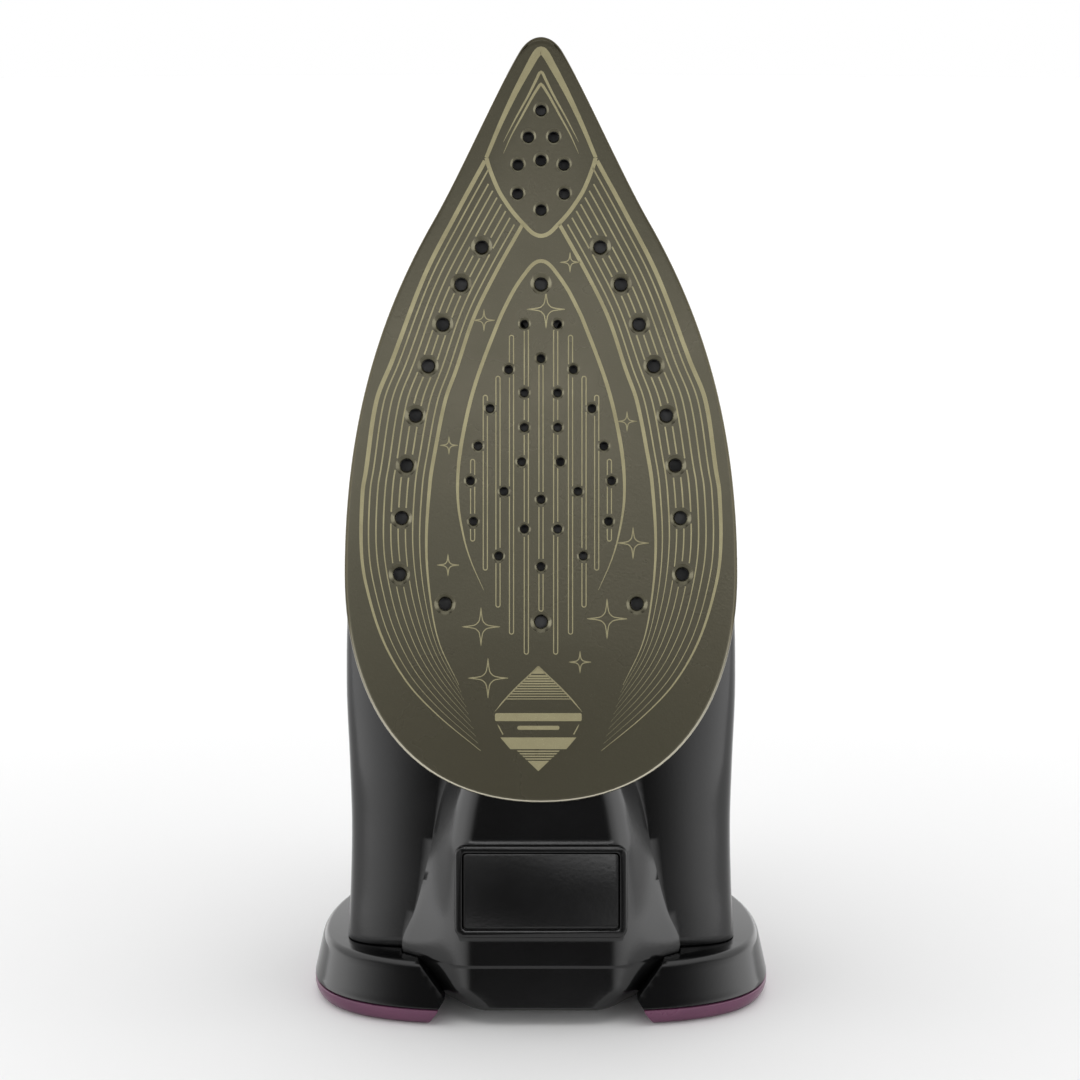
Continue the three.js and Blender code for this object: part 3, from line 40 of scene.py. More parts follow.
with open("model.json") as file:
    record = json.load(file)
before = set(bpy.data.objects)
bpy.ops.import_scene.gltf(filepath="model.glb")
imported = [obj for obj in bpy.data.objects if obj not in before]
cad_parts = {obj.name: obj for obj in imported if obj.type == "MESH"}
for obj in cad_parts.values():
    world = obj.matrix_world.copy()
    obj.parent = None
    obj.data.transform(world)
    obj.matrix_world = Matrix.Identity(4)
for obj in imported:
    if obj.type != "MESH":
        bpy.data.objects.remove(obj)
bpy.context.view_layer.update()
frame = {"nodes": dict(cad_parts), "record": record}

# ---------------------------------------------------------------- sizes shared by several pieces, in mm
LEAN = math.radians(12)
SOLE_LENGTH = 230.0
SOLE_HALF = 59.0
SOLE_THICKNESS = 2.4
IRON_HEIGHT = 151.0
HEEL_DROP = 72.0
FIT = 0.35
WALL = 2.6
TANK_WALL = 2.2
BODY_HALF = 61.0
BODY_BASE = 24.35
SADDLE = IRON_HEIGHT * 0.46
SKIRT_INSET = 3.0
SKIRT_TOP = 24.0
HEEL_START = 5.35
HEEL_RIM = 17.5
HEEL_DEPTH = 113.0
HEEL_GAP = ((-9, 34.5), (0, 34.5), (4.4, 31.6), (5.4, 31.3), (8.2, 29.4), (17.5, 38), (40, 58.7))
DIAL_Z = SOLE_LENGTH * 0.183
DIAL_HEIGHT = 9.0
SHAFT_ROOM = 3.35
VALVE_Z = SOLE_LENGTH * 0.655
VALVE_ROOM = 6.35
DECK_Z = SOLE_LENGTH * 0.69
DECK_TOP = IRON_HEIGHT * 0.925
BUTTON_X = 7.9
CORD_OUT = 10.0
BALL_RADIUS = 9.6


def sole_origin():
    """The middle of the sole's rear edge on its face, from the frame's own sole mount, in metres."""
    mount = next(m for m in frame["record"]["mounts"] if m["name"] == "sole_face")
    mount_height = 0.030
    return Vector(mount["pos_m"]) - mount_height * Vector((0, math.sin(LEAN), math.cos(LEAN)))


ORIGIN = sole_origin()
STANDING_FRONT = ORIGIN.y * 1000


def stand(x, y, z):
    """A point of the iron, across, deep and lengthways in mm, as it stands on its heel, in metres."""
    c, s = math.cos(LEAN), math.sin(LEAN)
    return Vector((x / 1000, (y * c + z * s) / 1000, (z * c - y * s) / 1000)) + ORIGIN


def upright(x, y, height):
    """A point of the heel, with its depth measured from below the sole's rear edge and its true height."""
    return Vector((x / 1000, (y + STANDING_FRONT) / 1000, height / 1000))


# ---------------------------------------------------------------- curves
def bezier_points(a, b, c, d, count):
    """Points of a cubic curve, both ends among them."""
    points = []
    for k in range(count + 1):
        t = k / count
        u = 1 - t
        weights = (u * u * u, 3 * u * u * t, 3 * u * t * t, t * t * t)
        points.append(tuple(sum(w * p[i] for w, p in zip(weights, (a, b, c, d))) for i in (0, 1)))
    return points


SOLE_CURVES = (
    ((0, 0), (0.7, 0), (1, 0.136), (1, 0.2985)),
    ((1, 0.2985), (1, 0.4985), (0.817, 0.64), (0.548, 0.76)),
    ((0.548, 0.76), (0.414, 0.82), (0.229, 0.929), (0.114, 0.979)),
    ((0.114, 0.979), (0.085, 0.992), (0.045, 1), (0, 1)),
)


def joined_curves(curves, per_curve):
    """The points of several curves that follow one another."""
    points = []
    for curve in curves:
        points += bezier_points(*curve, per_curve)[1 if points else 0 :]
    return points


def mirrored(half):
    """A closed outline from a half that starts and ends on the centre line."""
    return half + [(-x, y) for x, y in half[-2:0:-1]]


def sole_half(inset=0.0, per_curve=24):
    """Half of the sole's outline, from the middle of its rear edge to its tip, drawn in by an inset."""
    points = joined_curves(SOLE_CURVES, per_curve)
    return [(x * (SOLE_HALF - inset), inset + z * (SOLE_LENGTH - 3 * inset)) for x, z in points]


def sole_half_at(z):
    """The sole's half width at a place along it."""
    points = sole_half()
    for (x0, z0), (x1, z1) in zip(points, points[1:]):
        if z0 <= z <= z1:
            return x0 + (x1 - x0) * (z - z0) / max(z1 - z0, 1e-9)
    return 0.0


def hermite_rows(rows, count, level_peaks=True):
    """Rows of numbers, the first rising, filled in smoothly to count rows between each pair.

    Level peaks keep a value from swinging past its rows; curves that turn back go without.
    """
    slopes = []
    for k, row in enumerate(rows):
        before, after = rows[max(k - 1, 0)], rows[min(k + 1, len(rows) - 1)]
        run = after[0] - before[0]
        slope = [(b - a) / run for a, b in zip(before, after)]
        for i in range(1, len(row)):
            left = (row[i] - before[i]) * (after[i] - row[i])
            if level_peaks and 0 < k < len(rows) - 1 and left <= 0:
                slope[i] = 0.0
        slopes.append(slope)
    filled = []
    for (p, m), (q, n) in zip(zip(rows, slopes), zip(rows[1:], slopes[1:])):
        run = q[0] - p[0]
        for j in range(count):
            t = j / count
            h = (
                2 * t**3 - 3 * t**2 + 1,
                (t**3 - 2 * t**2 + t) * run,
                3 * t**2 - 2 * t**3,
                (t**3 - t**2) * run,
            )
            filled.append([h[0] * a + h[1] * ma + h[2] * b + h[3] * mb for a, ma, b, mb in zip(p, m, q, n)])
    filled.append(list(rows[-1]))
    return filled


def signed_power(value, power):
    """A power of a number's size, with the number's own sign."""
    return math.copysign(abs(value) ** power, value)


def rounded_rectangle(width, height, radius, per_corner=8):
    """The outline of a rectangle round the middle, with its corners rounded."""
    w, h = width / 2, height / 2
    r = min(radius, w * 0.98, h * 0.98)
    points = []
    corners = ((w - r, -h + r, -90), (w - r, h - r, 0), (-w + r, h - r, 90), (-w + r, -h + r, 180))
    for cx, cz, start in corners:
        for k in range(per_corner + 1):
            angle = math.radians(start + 90 * k / per_corner)
            points.append((cx + r * math.cos(angle), cz + r * math.sin(angle)))
    return points


# ---------------------------------------------------------------- modelling by the usual steps
def only(*objects):
    """Object mode, with nothing but these selected and the first of them active."""
    if bpy.context.object and bpy.context.object.mode != "OBJECT":
        bpy.ops.object.mode_set(mode="OBJECT")
    bpy.ops.object.select_all(action="DESELECT")
    for item in objects:
        item.select_set(True)
    bpy.context.view_layer.objects.active = objects[0]
    return objects[0]


def named(name):
    """Gives the active object and its mesh a name."""
    piece = bpy.context.object
    piece.name = name
    piece.data.name = name
    return piece


def settle(piece):
    """Puts a piece's place into its mesh, so that its object stands unturned at the origin."""
    only(piece)
    bpy.ops.object.transform_apply(location=True, rotation=True, scale=True)


def loft(name, rings):
    """A circle drawn out ring by ring: each extrusion is set on the next ring's points."""
    bpy.ops.object.select_all(action="DESELECT")
    bpy.ops.mesh.primitive_circle_add(vertices=len(rings[0]), radius=0.01, fill_type="NOTHING")
    piece = named(name)
    bpy.ops.object.mode_set(mode="EDIT")
    body = bmesh.from_edit_mesh(piece.data)
    layer = body.verts.layers.int.new("place")
    for k, vertex in enumerate(body.verts):
        vertex[layer] = k
        vertex.co = rings[0][k]
    bmesh.update_edit_mesh(piece.data)
    for ring in rings[1:]:
        bpy.ops.mesh.extrude_region_move()
        body = bmesh.from_edit_mesh(piece.data)
        layer = body.verts.layers.int["place"]
        for vertex in body.verts:
            if vertex.select:
                vertex.co = ring[vertex[layer]]
        bmesh.update_edit_mesh(piece.data)
    bpy.ops.mesh.edge_face_add()
    body = bmesh.from_edit_mesh(piece.data)
    for item in (*body.verts, *body.edges, *body.faces):
        item.select = False
    for edge in body.edges:
        if edge.is_boundary:
            edge.select = True
    body.select_flush(True)
    bmesh.update_edit_mesh(piece.data)
    bpy.ops.mesh.edge_face_add()
    bpy.ops.mesh.select_all(action="SELECT")
    bpy.ops.mesh.normals_make_consistent(inside=False)
    bpy.ops.object.mode_set(mode="OBJECT")
    piece.data.attributes.remove(piece.data.attributes["place"])
    return piece


def prism(name, outline, y0, y1, place=stand, edge=0.0, steps=3, both=True):
    """An outline across and lengthways, drawn from one depth to another, with rounded rims."""
    cx = sum(p[0] for p in outline) / len(outline)
    cz = sum(p[1] for p in outline) / len(outline)
    half_x = max(abs(p[0] - cx) for p in outline)
    half_z = max(abs(p[1] - cz) for p in outline)

    def ring(inset, y):
        kx, kz = 1 - inset / half_x, 1 - inset / half_z
        return [place(cx + (x - cx) * kx, y, cz + (z - cz) * kz) for x, z in outline]

    rings = []
    if edge:
        for k in range(steps):
            a = math.pi / 2 * k / steps
            if both:
                rings.append(ring(edge * (1 - math.sin(a)), y0 + edge * (1 - math.cos(a))))
        rings.append(ring(0, y0 + edge if both else y0))
        for k in range(steps + 1):
            a = math.pi / 2 * k / steps
            rings.append(ring(edge * (1 - math.cos(a)), y1 - edge * (1 - math.sin(a))))
    else:
        rings = [ring(0, y0), ring(0, y1)]
    return loft(name, rings)


def turned(name, profile, place=stand, x=0.0, z=0.0, sides=64, closed=False):
    """A profile of (radius, height) turned round a line along the depth, by spinning its edges."""
    points = [place(x + r, y, z) for r, y in profile]
    bpy.ops.object.select_all(action="DESELECT")
    mesh = bpy.data.meshes.new(name)
    edges = [(k, k + 1) for k in range(len(points) - 1)]
    if closed:
        edges.append((len(points) - 1, 0))
    mesh.from_pydata([tuple(p) for p in points], edges, [])
    piece = bpy.data.objects.new(name, mesh)
    bpy.context.collection.objects.link(piece)
    only(piece)
    bpy.ops.object.mode_set(mode="EDIT")
    bpy.ops.mesh.select_all(action="SELECT")
    base, tip = place(x, 0, z), place(x, 1, z)
    bpy.ops.mesh.spin(steps=sides, angle=2 * math.pi, center=base, axis=(tip - base).normalized())
    bpy.ops.mesh.select_all(action="SELECT")
    bpy.ops.mesh.remove_doubles(threshold=1e-6)
    bpy.ops.mesh.normals_make_consistent(inside=False)
    bpy.ops.object.mode_set(mode="OBJECT")
    return piece


def apply_all(piece):
    """Applies every modifier of a piece, in order."""
    only(piece)
    for modifier in list(piece.modifiers):
        bpy.ops.object.modifier_apply(modifier=modifier.name)


def combine(piece, other, way="DIFFERENCE", solver="EXACT"):
    """Cuts, joins or crosses a piece with another, applies it and drops the other piece."""
    modifier = piece.modifiers.new("combine", "BOOLEAN")
    modifier.operation = way
    modifier.solver = solver
    modifier.object = other
    modifier.material_mode = "TRANSFER"
    apply_all(piece)
    bpy.data.objects.remove(other, do_unlink=True)
    return piece


def smoothed(piece, angle=32.0):
    """Smooth shading, except over edges that are sharper than an angle."""
    only(piece)
    bpy.ops.object.shade_smooth_by_angle(angle=math.radians(angle))
    return piece


def bevelled(piece, width, segments=3, angle=35.0):
    """Rounds the edges that are sharper than an angle, by a width in mm."""
    modifier = piece.modifiers.new("rounding", "BEVEL")
    modifier.width = width / 1000
    modifier.segments = segments
    modifier.limit_method = "ANGLE"
    modifier.angle_limit = math.radians(angle)
    modifier.use_clamp_overlap = True
    modifier.harden_normals = False
    apply_all(piece)
    return piece


def cleaned(piece):
    """Merges points that nearly meet and drops faces too small to see."""
    distance = 0.00002
    only(piece)
    bpy.ops.object.mode_set(mode="EDIT")
    bpy.ops.mesh.select_all(action="SELECT")
    bpy.ops.mesh.remove_doubles(threshold=distance)
    bpy.ops.mesh.dissolve_degenerate(threshold=distance)
    bpy.ops.object.mode_set(mode="OBJECT")
    return piece


def bisected(piece, point, normal, clear="inner"):
    """Cuts a piece through by a plane, drops one side and closes the cut."""
    only(piece)
    bpy.ops.object.mode_set(mode="EDIT")
    bpy.ops.mesh.select_all(action="SELECT")
    bpy.ops.mesh.bisect(
        plane_co=point,
        plane_no=normal,
        use_fill=True,
        clear_inner=clear == "inner",
        clear_outer=clear == "outer",
    )
    bpy.ops.object.mode_set(mode="OBJECT")
    return piece


def merged(name, pieces):
    """Pieces joined into one object without cutting them."""
    only(*pieces)
    bpy.ops.object.join()
    return named(name)


def finish_piece(piece, body, material, nodes=(), angle=32.0):
    """A finished piece's shading, finish, body and the frame nodes that it stands for."""
    settle(piece)
    smoothed(piece, angle)
    if material is not None:
        piece.data.materials.clear()
        piece.data.materials.append(material)
    if nodes:
        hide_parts(*nodes)
    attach(piece, body)
    return piece


# ---------------------------------------------------------------- effects shared by the finishes
def socket(group, name, way, kind, default=None):
    made = group.interface.new_socket(name=name, in_out=way, socket_type=kind)
    if default is not None:
        made.default_value = default
    return made


def link(tree, source, target):
    tree.links.new(source, target)


def grain_group():
    """Fine moulded grain: a height that changes over the surface."""
    group = bpy.data.node_groups.new("moulded_grain", "ShaderNodeTree")
    socket(group, "Scale", "INPUT", "NodeSocketFloat", 900.0)
    socket(group, "Softness", "INPUT", "NodeSocketFloat", 0.5)
    socket(group, "Height", "OUTPUT", "NodeSocketFloat")
    nodes = group.nodes
    start, end = nodes.new("NodeGroupInput"), nodes.new("NodeGroupOutput")
    place = nodes.new("ShaderNodeTexCoord")
    fine, coarse = nodes.new("ShaderNodeTexNoise"), nodes.new("ShaderNodeTexVoronoi")
    half = nodes.new("ShaderNodeMath")
    half.operation = "MULTIPLY"
    half.inputs[1].default_value = 0.45
    blend = nodes.new("ShaderNodeMix")
    fine.inputs["Detail"].default_value = 3.0
    link(group, place.outputs["Object"], fine.inputs["Vector"])
    link(group, place.outputs["Object"], coarse.inputs["Vector"])
    link(group, start.outputs["Scale"], fine.inputs["Scale"])
    link(group, start.outputs["Scale"], half.inputs[0])
    link(group, half.outputs[0], coarse.inputs["Scale"])
    link(group, start.outputs["Softness"], blend.inputs[0])
    link(group, fine.outputs[0], blend.inputs[2])
    link(group, coarse.outputs["Distance"], blend.inputs[3])
    link(group, blend.outputs[0], end.inputs["Height"])
    return group


def haze_group():
    """Slow uneven handling marks: a value between two ends that drifts over the surface."""
    group = bpy.data.node_groups.new("handling_haze", "ShaderNodeTree")
    socket(group, "Scale", "INPUT", "NodeSocketFloat", 22.0)
    socket(group, "Low", "INPUT", "NodeSocketFloat", 0.1)
    socket(group, "High", "INPUT", "NodeSocketFloat", 0.2)
    socket(group, "Value", "OUTPUT", "NodeSocketFloat")
    socket(group, "Mask", "OUTPUT", "NodeSocketFloat")
    nodes = group.nodes
    start, end = nodes.new("NodeGroupInput"), nodes.new("NodeGroupOutput")
    place = nodes.new("ShaderNodeTexCoord")
    cloud = nodes.new("ShaderNodeTexNoise")
    cloud.inputs["Detail"].default_value = 5.0
    cloud.inputs["Roughness"].default_value = 0.62
    spread = nodes.new("ShaderNodeMapRange")
    spread.inputs["From Min"].default_value = 0.32
    spread.inputs["From Max"].default_value = 0.68
    mask = nodes.new("ShaderNodeMapRange")
    mask.inputs["From Min"].default_value = 0.32
    mask.inputs["From Max"].default_value = 0.68
    link(group, place.outputs["Object"], cloud.inputs["Vector"])
    link(group, start.outputs["Scale"], cloud.inputs["Scale"])
    link(group, cloud.outputs[0], spread.inputs["Value"])
    link(group, cloud.outputs[0], mask.inputs["Value"])
    link(group, start.outputs["Low"], spread.inputs["To Min"])
    link(group, start.outputs["High"], spread.inputs["To Max"])
    link(group, spread.outputs["Result"], end.inputs["Value"])
    link(group, mask.outputs["Result"], end.inputs["Mask"])
    return group


def specks_group():
    """Small scattered specks, as of dust or of flakes in a paint: a mask."""
    group = bpy.data.node_groups.new("scattered_specks", "ShaderNodeTree")
    socket(group, "Scale", "INPUT", "NodeSocketFloat", 1400.0)
    socket(group, "Size", "INPUT", "NodeSocketFloat", 0.16)
    socket(group, "Mask", "OUTPUT", "NodeSocketFloat")
    nodes = group.nodes
    start, end = nodes.new("NodeGroupInput"), nodes.new("NodeGroupOutput")
    place = nodes.new("ShaderNodeTexCoord")
    cells = nodes.new("ShaderNodeTexVoronoi")
    near = nodes.new("ShaderNodeMath")
    near.operation = "LESS_THAN"
    link(group, place.outputs["Object"], cells.inputs["Vector"])
    link(group, start.outputs["Scale"], cells.inputs["Scale"])
    link(group, cells.outputs["Distance"], near.inputs[0])
    link(group, start.outputs["Size"], near.inputs[1])
    link(group, near.outputs[0], end.inputs["Mask"])
    return group


GROUPS = {}


def group_node(tree, maker, **values):
    """A shared effect placed in a material with its own values; each effect is built once."""
    if maker.__name__ not in GROUPS:
        GROUPS[maker.__name__] = maker()
    node = tree.nodes.new("ShaderNodeGroup")
    node.node_tree = GROUPS[maker.__name__]
    for name, value in values.items():
        node.inputs[name].default_value = value
    return node


def mixed_colour(tree, mask, first, second):
    """Two colours mixed by a mask."""
    mix = tree.nodes.new("ShaderNodeMix")
    mix.data_type = "RGBA"
    mix.inputs[6].default_value = (*first, 1)
    mix.inputs[7].default_value = (*second, 1)
    link(tree, mask, mix.inputs[0])
    return mix.outputs[2]


def srgb(red, green, blue):
    """A colour in linear light from its three display values out of 255."""
    def one(value):
        value = value / 255
        return value / 12.92 if value <= 0.04045 else ((value + 0.055) / 1.055) ** 2.4

    return (one(red), one(green), one(blue))


def finish(
    name,
    light,
    dark,
    roughness=(0.1, 0.2),
    metallic=0.0,
    haze=22.0,
    grain=None,
    specks=None,
    specular=0.5,
    coat=0.0,
    transmission=0.0,
    sheen=0.0,
    fade=None,
):
    """A finish: two close colours drifting into each other, uneven gloss, and grain or specks if asked.

    With a fade, the dark colour passes into the light one between two heights instead.
    """
    made = bpy.data.materials.new(name)
    made.use_nodes = True
    tree = made.node_tree
    shader = tree.nodes["Principled BSDF"]
    drift = group_node(tree, haze_group, Scale=haze, Low=roughness[0], High=roughness[1])
    mask = drift.outputs["Mask"]
    # a fade paints light by height: the sole's rim uses it for a painted floor reflection low down
    if fade:
        place = tree.nodes.new("ShaderNodeTexCoord")
        split = tree.nodes.new("ShaderNodeSeparateXYZ")
        spread = tree.nodes.new("ShaderNodeMapRange")
        spread.inputs["From Min"].default_value = fade[1]
        spread.inputs["From Max"].default_value = fade[0]
        link(tree, place.outputs["Object"], split.inputs[0])
        link(tree, split.outputs["Z"], spread.inputs["Value"])
        mask = spread.outputs["Result"]
    colour = mixed_colour(tree, mask, light, dark)
    if specks:
        scale, size, tint = specks
        spots = group_node(tree, specks_group, Scale=scale, Size=size)
        over = tree.nodes.new("ShaderNodeMix")
        over.data_type = "RGBA"
        link(tree, spots.outputs["Mask"], over.inputs[0])
        link(tree, colour, over.inputs[6])
        over.inputs[7].default_value = (*tint, 1)
        colour = over.outputs[2]
    link(tree, colour, shader.inputs["Base Color"])
    link(tree, drift.outputs["Value"], shader.inputs["Roughness"])
    shader.inputs["Metallic"].default_value = metallic
    shader.inputs["Specular IOR Level"].default_value = specular
    shader.inputs["Coat Weight"].default_value = coat
    shader.inputs["Coat Roughness"].default_value = 0.08
    shader.inputs["Transmission Weight"].default_value = transmission
    shader.inputs["Sheen Weight"].default_value = sheen
    if grain:
        scale, depth = grain
        rough = group_node(tree, grain_group, Scale=scale)
        bump = tree.nodes.new("ShaderNodeBump")
        bump.inputs["Strength"].default_value = depth
        bump.inputs["Distance"].default_value = 0.0002
        link(tree, rough.outputs["Height"], bump.inputs["Height"])
        link(tree, bump.outputs["Normal"], shader.inputs["Normal"])
    return made


FINISHES = {
    "sole_coat": dict(
        light=srgb(86, 82, 67), dark=srgb(79, 76, 61), roughness=(0.25, 0.31), metallic=0.5, haze=14.0,
        grain=(2600.0, 0.12), specks=(2600.0, 0.10, srgb(120, 116, 96)),
    ),
    # the sole's metal rim: dark olive high up, passing by height into a painted cream floor reflection low down
    "rim_painted_reflection": dict(
        light=srgb(212, 206, 186), dark=srgb(66, 62, 48), roughness=(0.16, 0.26), metallic=1.0,
        fade=(0.125, 0.075), grain=(1500.0, 0.08),
    ),
    "countersink": dict(
        light=srgb(100, 97, 82), dark=srgb(78, 75, 62), roughness=(0.12, 0.2), metallic=1.0, haze=160.0,
        grain=(1200.0, 0.1),
    ),
    "bore_shadow": dict(
        light=srgb(14, 14, 12), dark=srgb(8, 8, 7), roughness=(0.6, 0.8), haze=160.0, grain=(1200.0, 0.2),
    ),
    "pale_gold_print": dict(
        light=srgb(160, 153, 119), dark=srgb(148, 141, 109), roughness=(0.32, 0.42), metallic=0.5, haze=120.0,
        specks=(3200.0, 0.14, srgb(196, 190, 156)), grain=(2200.0, 0.1),
    ),
    "gloss_black": dict(
        light=srgb(12, 12, 12), dark=srgb(9, 9, 10), roughness=(0.15, 0.2), haze=26.0,
        specks=(900.0, 0.035, srgb(40, 40, 40)), grain=(2600.0, 0.05),
    ),
    "satin_black": dict(
        light=srgb(12, 12, 12), dark=srgb(9, 9, 10), roughness=(0.18, 0.24), haze=30.0, grain=(1800.0, 0.1),
    ),
    "matte_black": dict(
        light=srgb(27, 27, 27), dark=srgb(20, 20, 21), roughness=(0.55, 0.68), haze=30.0, grain=(1500.0, 0.5),
    ),
    "plum_plastic": dict(
        light=srgb(104, 60, 86), dark=srgb(92, 53, 77), roughness=(0.26, 0.34), metallic=0.1, haze=40.0,
        specks=(2800.0, 0.12, srgb(122, 80, 106)), grain=(2600.0, 0.1),
    ),
    "soft_touch": dict(
        light=srgb(38, 38, 40), dark=srgb(31, 31, 33), roughness=(0.62, 0.78), haze=24.0, grain=(2200.0, 0.5),
        sheen=0.15,
    ),
    "smoky_tank": dict(
        light=srgb(96, 58, 84), dark=srgb(84, 50, 74), roughness=(0.06, 0.12), haze=20.0, transmission=0.75,
        grain=(600.0, 0.03),
    ),
    "cast_metal": dict(
        light=srgb(92, 92, 92), dark=srgb(66, 66, 66), roughness=(0.45, 0.6), metallic=0.9, haze=60.0,
        grain=(700.0, 0.8),
    ),
    "bright_steel": dict(
        light=srgb(196, 198, 200), dark=srgb(168, 170, 173), roughness=(0.16, 0.3), metallic=1.0, haze=160.0,
        grain=(1800.0, 0.1),
    ),
    "turned_brass": dict(
        light=srgb(190, 160, 88), dark=srgb(160, 130, 66), roughness=(0.18, 0.3), metallic=1.0, haze=160.0,
        grain=(1800.0, 0.1),
    ),
    "grey_silicone": dict(
        light=srgb(176, 172, 164), dark=srgb(158, 155, 148), roughness=(0.5, 0.65), haze=60.0,
        grain=(900.0, 0.3),
    ),
    "white_moulding": dict(
        light=srgb(214, 211, 202), dark=srgb(198, 195, 186), roughness=(0.35, 0.5), haze=60.0,
        grain=(1400.0, 0.2),
    ),
    "green_board": dict(
        light=srgb(34, 92, 54), dark=srgb(24, 76, 44), roughness=(0.3, 0.45), haze=120.0,
        specks=(420.0, 0.1, srgb(190, 178, 120)), grain=(1400.0, 0.15),
    ),
    "red_lens": dict(
        light=srgb(206, 60, 40), dark=srgb(176, 42, 28), roughness=(0.06, 0.14), haze=120.0, coat=0.4,
        grain=(500.0, 0.05), transmission=0.2,
    ),
}
MADE = {}


def material(name):
    """One of the finishes by name, made the first time that it is asked for."""
    if name not in MADE:
        MADE[name] = finish(name, **FINISHES[name])
    return MADE[name]


# ---------------------------------------------------------------- the sole
NOSE_HOLES = ((0, 207.9), (3.8, 199.9), (0, 192.9), (6.9, 191.6), (7.0, 182.9), (0, 178.0))
RIM_HOLES = (
    (17.8, 166.9), (24.0, 155.7), (29.5, 143.7), (33.9, 131.2), (37.7, 116.3), (40.4, 101.3),
    (41.9, 85.5), (42.5, 68.6), (28.8, 59.7), (0, 155.8), (0, 54.3),
)
FIELD_HOLES = (
    (5, 143.7), (0, 133.4), (9.7, 130.1), (5, 123.1), (15.3, 118.4), (5, 112.7), (18.9, 107.1), (5.8, 102.4),
    (21.2, 96.7), (11.1, 93.5), (0, 91.1), (20.3, 84.5), (5, 82.2), (12.7, 74.1), (0, 70.9),
)


def hole_places(settings):
    """Every steam hole: across, lengthways, bore radius and countersink radius."""
    places = []
    kinds = (
        (NOSE_HOLES, settings.nose_bore, settings.nose_sink),
        (RIM_HOLES, settings.rim_bore, settings.rim_sink),
        (FIELD_HOLES, settings.field_bore, settings.field_sink),
    )
    for holes, bore, sink in kinds:
        for x, z in holes:
            for side in (-1, 1) if x else (1,):
                places.append((side * x, z, bore * 500, sink * 500))
    return places


def make_sole(settings):
    """The coated sole plate with its countersunk steam holes, and a metal rim with a painted floor reflection
    low down.
    """
    radius = 1.25
    rings = []
    steps = 7

    def outline(inset):
        return mirrored(sole_half(inset, 30))

    for k in range(steps + 1):
        a = math.pi / 2 * k / steps
        inset = radius * (1 - math.sin(a))
        y = radius * (1 - math.cos(a))
        rings.append([stand(x, y, z) for x, z in outline(inset)])
    rings.append([stand(x, SOLE_THICKNESS - 0.4, z) for x, z in outline(0)])
    rings.append([stand(x, SOLE_THICKNESS, z) for x, z in outline(0.4)])
    plate = loft("sole_plate", rings)
    for name in ("sole_coat", "rim_painted_reflection"):
        plate.data.materials.append(material(name))
    away = (stand(0, -1, 0) - stand(0, 0, 0)).normalized()
    for face in plate.data.polygons:
        face.material_index = 0 if face.normal.dot(away) > 0.93 else 1
    cutters = []
    for k, (x, z, bore, sink) in enumerate(hole_places(settings)):
        depth = (sink - bore) * 0.62
        profile = ((0, -0.6), (sink + 0.35, -0.6), (sink + 0.06, -0.04), (sink - 0.1, 0.06),
                   (bore + 0.12, depth), (bore, depth + 0.18), (bore, SOLE_THICKNESS + 0.5),
                   (0, SOLE_THICKNESS + 0.5))
        cutter = turned(f"cutter_{k}", profile, x=x, z=z, sides=28)
        for name in ("countersink", "bore_shadow"):
            cutter.data.materials.append(material(name))
        base = stand(x, depth + 0.02, z)
        for face in cutter.data.polygons:
            face.material_index = 1 if (face.center - base).dot(away) < 0 else 0
        cutters.append(cutter)
    drill = merged("cutters", cutters)
    combine(plate, drill)
    finish_piece(plate, "iron", None, ["soleplate"], angle=24.0)
    return plate


# ---------------------------------------------------------------- the printed decoration, half of it, in mm
OUTER_BORDER = (
    (16.8, 192.6), (25.1, 177.4), (34.8, 158.5), (44.7, 132.5), (49.3, 120.8), (52.5, 99.6), (53.5, 93.3),
    (53.9, 76.8), (52.5, 65.7), (47.5, 49.2), (40.2, 36.3), (31.0, 26.4), (18.1, 15.7),
)
INNER_BORDER = (
    (5.5, 173.6), (13.6, 159.1), (20.2, 145.6), (25.5, 129.8), (28.7, 120.8), (31.9, 104.9), (33.3, 96.0),
    (34.4, 77.7), (33.3, 62.1), (30.6, 48.3), (24.6, 35.4),
)
LEAF = (
    (0.0, 162.6), (1.7, 162.1), (3.7, 160.2), (7.8, 154.4), (10.8, 148.7), (12.6, 144.8), (19.0, 127.9),
    (22.2, 116.3), (24.6, 102.5), (24.9, 90.6), (23.1, 79.5), (20.9, 72.3), (17.2, 63.9),
)
KITE_TOP = (
    (16.4, 193.6), (12.5, 203.0), (8.4, 211.8), (5.6, 217.2), (3.4, 221.2), (1.7, 224.2), (0.6, 225.5),
    (0.0, 225.7),
)
KITE_FOOT = (
    (16.4, 193.6), (15.4, 190.2), (12.7, 183.7), (9.6, 178.8), (7.4, 176.0), (5.0, 173.4), (2.4, 170.9),
    (0.0, 170.1),
)
CHEVRONS = (
    ((11.3, 198.2), (10.2, 200.4), (7.2, 206.1), (4.0, 211.8), (1.3, 217.2), (0.5, 218.9), (0.0, 219.3)),
    ((11.3, 194.8), (8.8, 200.4), (5.7, 206.1), (2.6, 211.8), (1.0, 214.4), (0.4, 215.3), (0.0, 215.7)),
)
CAPSULES = (
    (0, 57.6, 131.6), (4.4, 44.7, 142.1), (8.85, 50.7, 140.3), (12.9, 58.8, 128.0), (16.7, 69.9, 122.3),
    (20.5, 78.6, 103.1),
)
SPARKLES = (
    (8.7, 162.2, 3.0), (1.5, 148.1, 5.7), (-17.1, 144.8, 3.3), (-27.6, 107.3, 2.7), (25.8, 114.5, 3.0),
    (27.6, 78.0, 4.8), (-27.9, 71.4, 3.3), (-18.0, 52.9, 5.7), (19.8, 55.3, 6.0), (-15.9, 37.5, 6.0),
    (11.7, 42.3, 3.3),
)


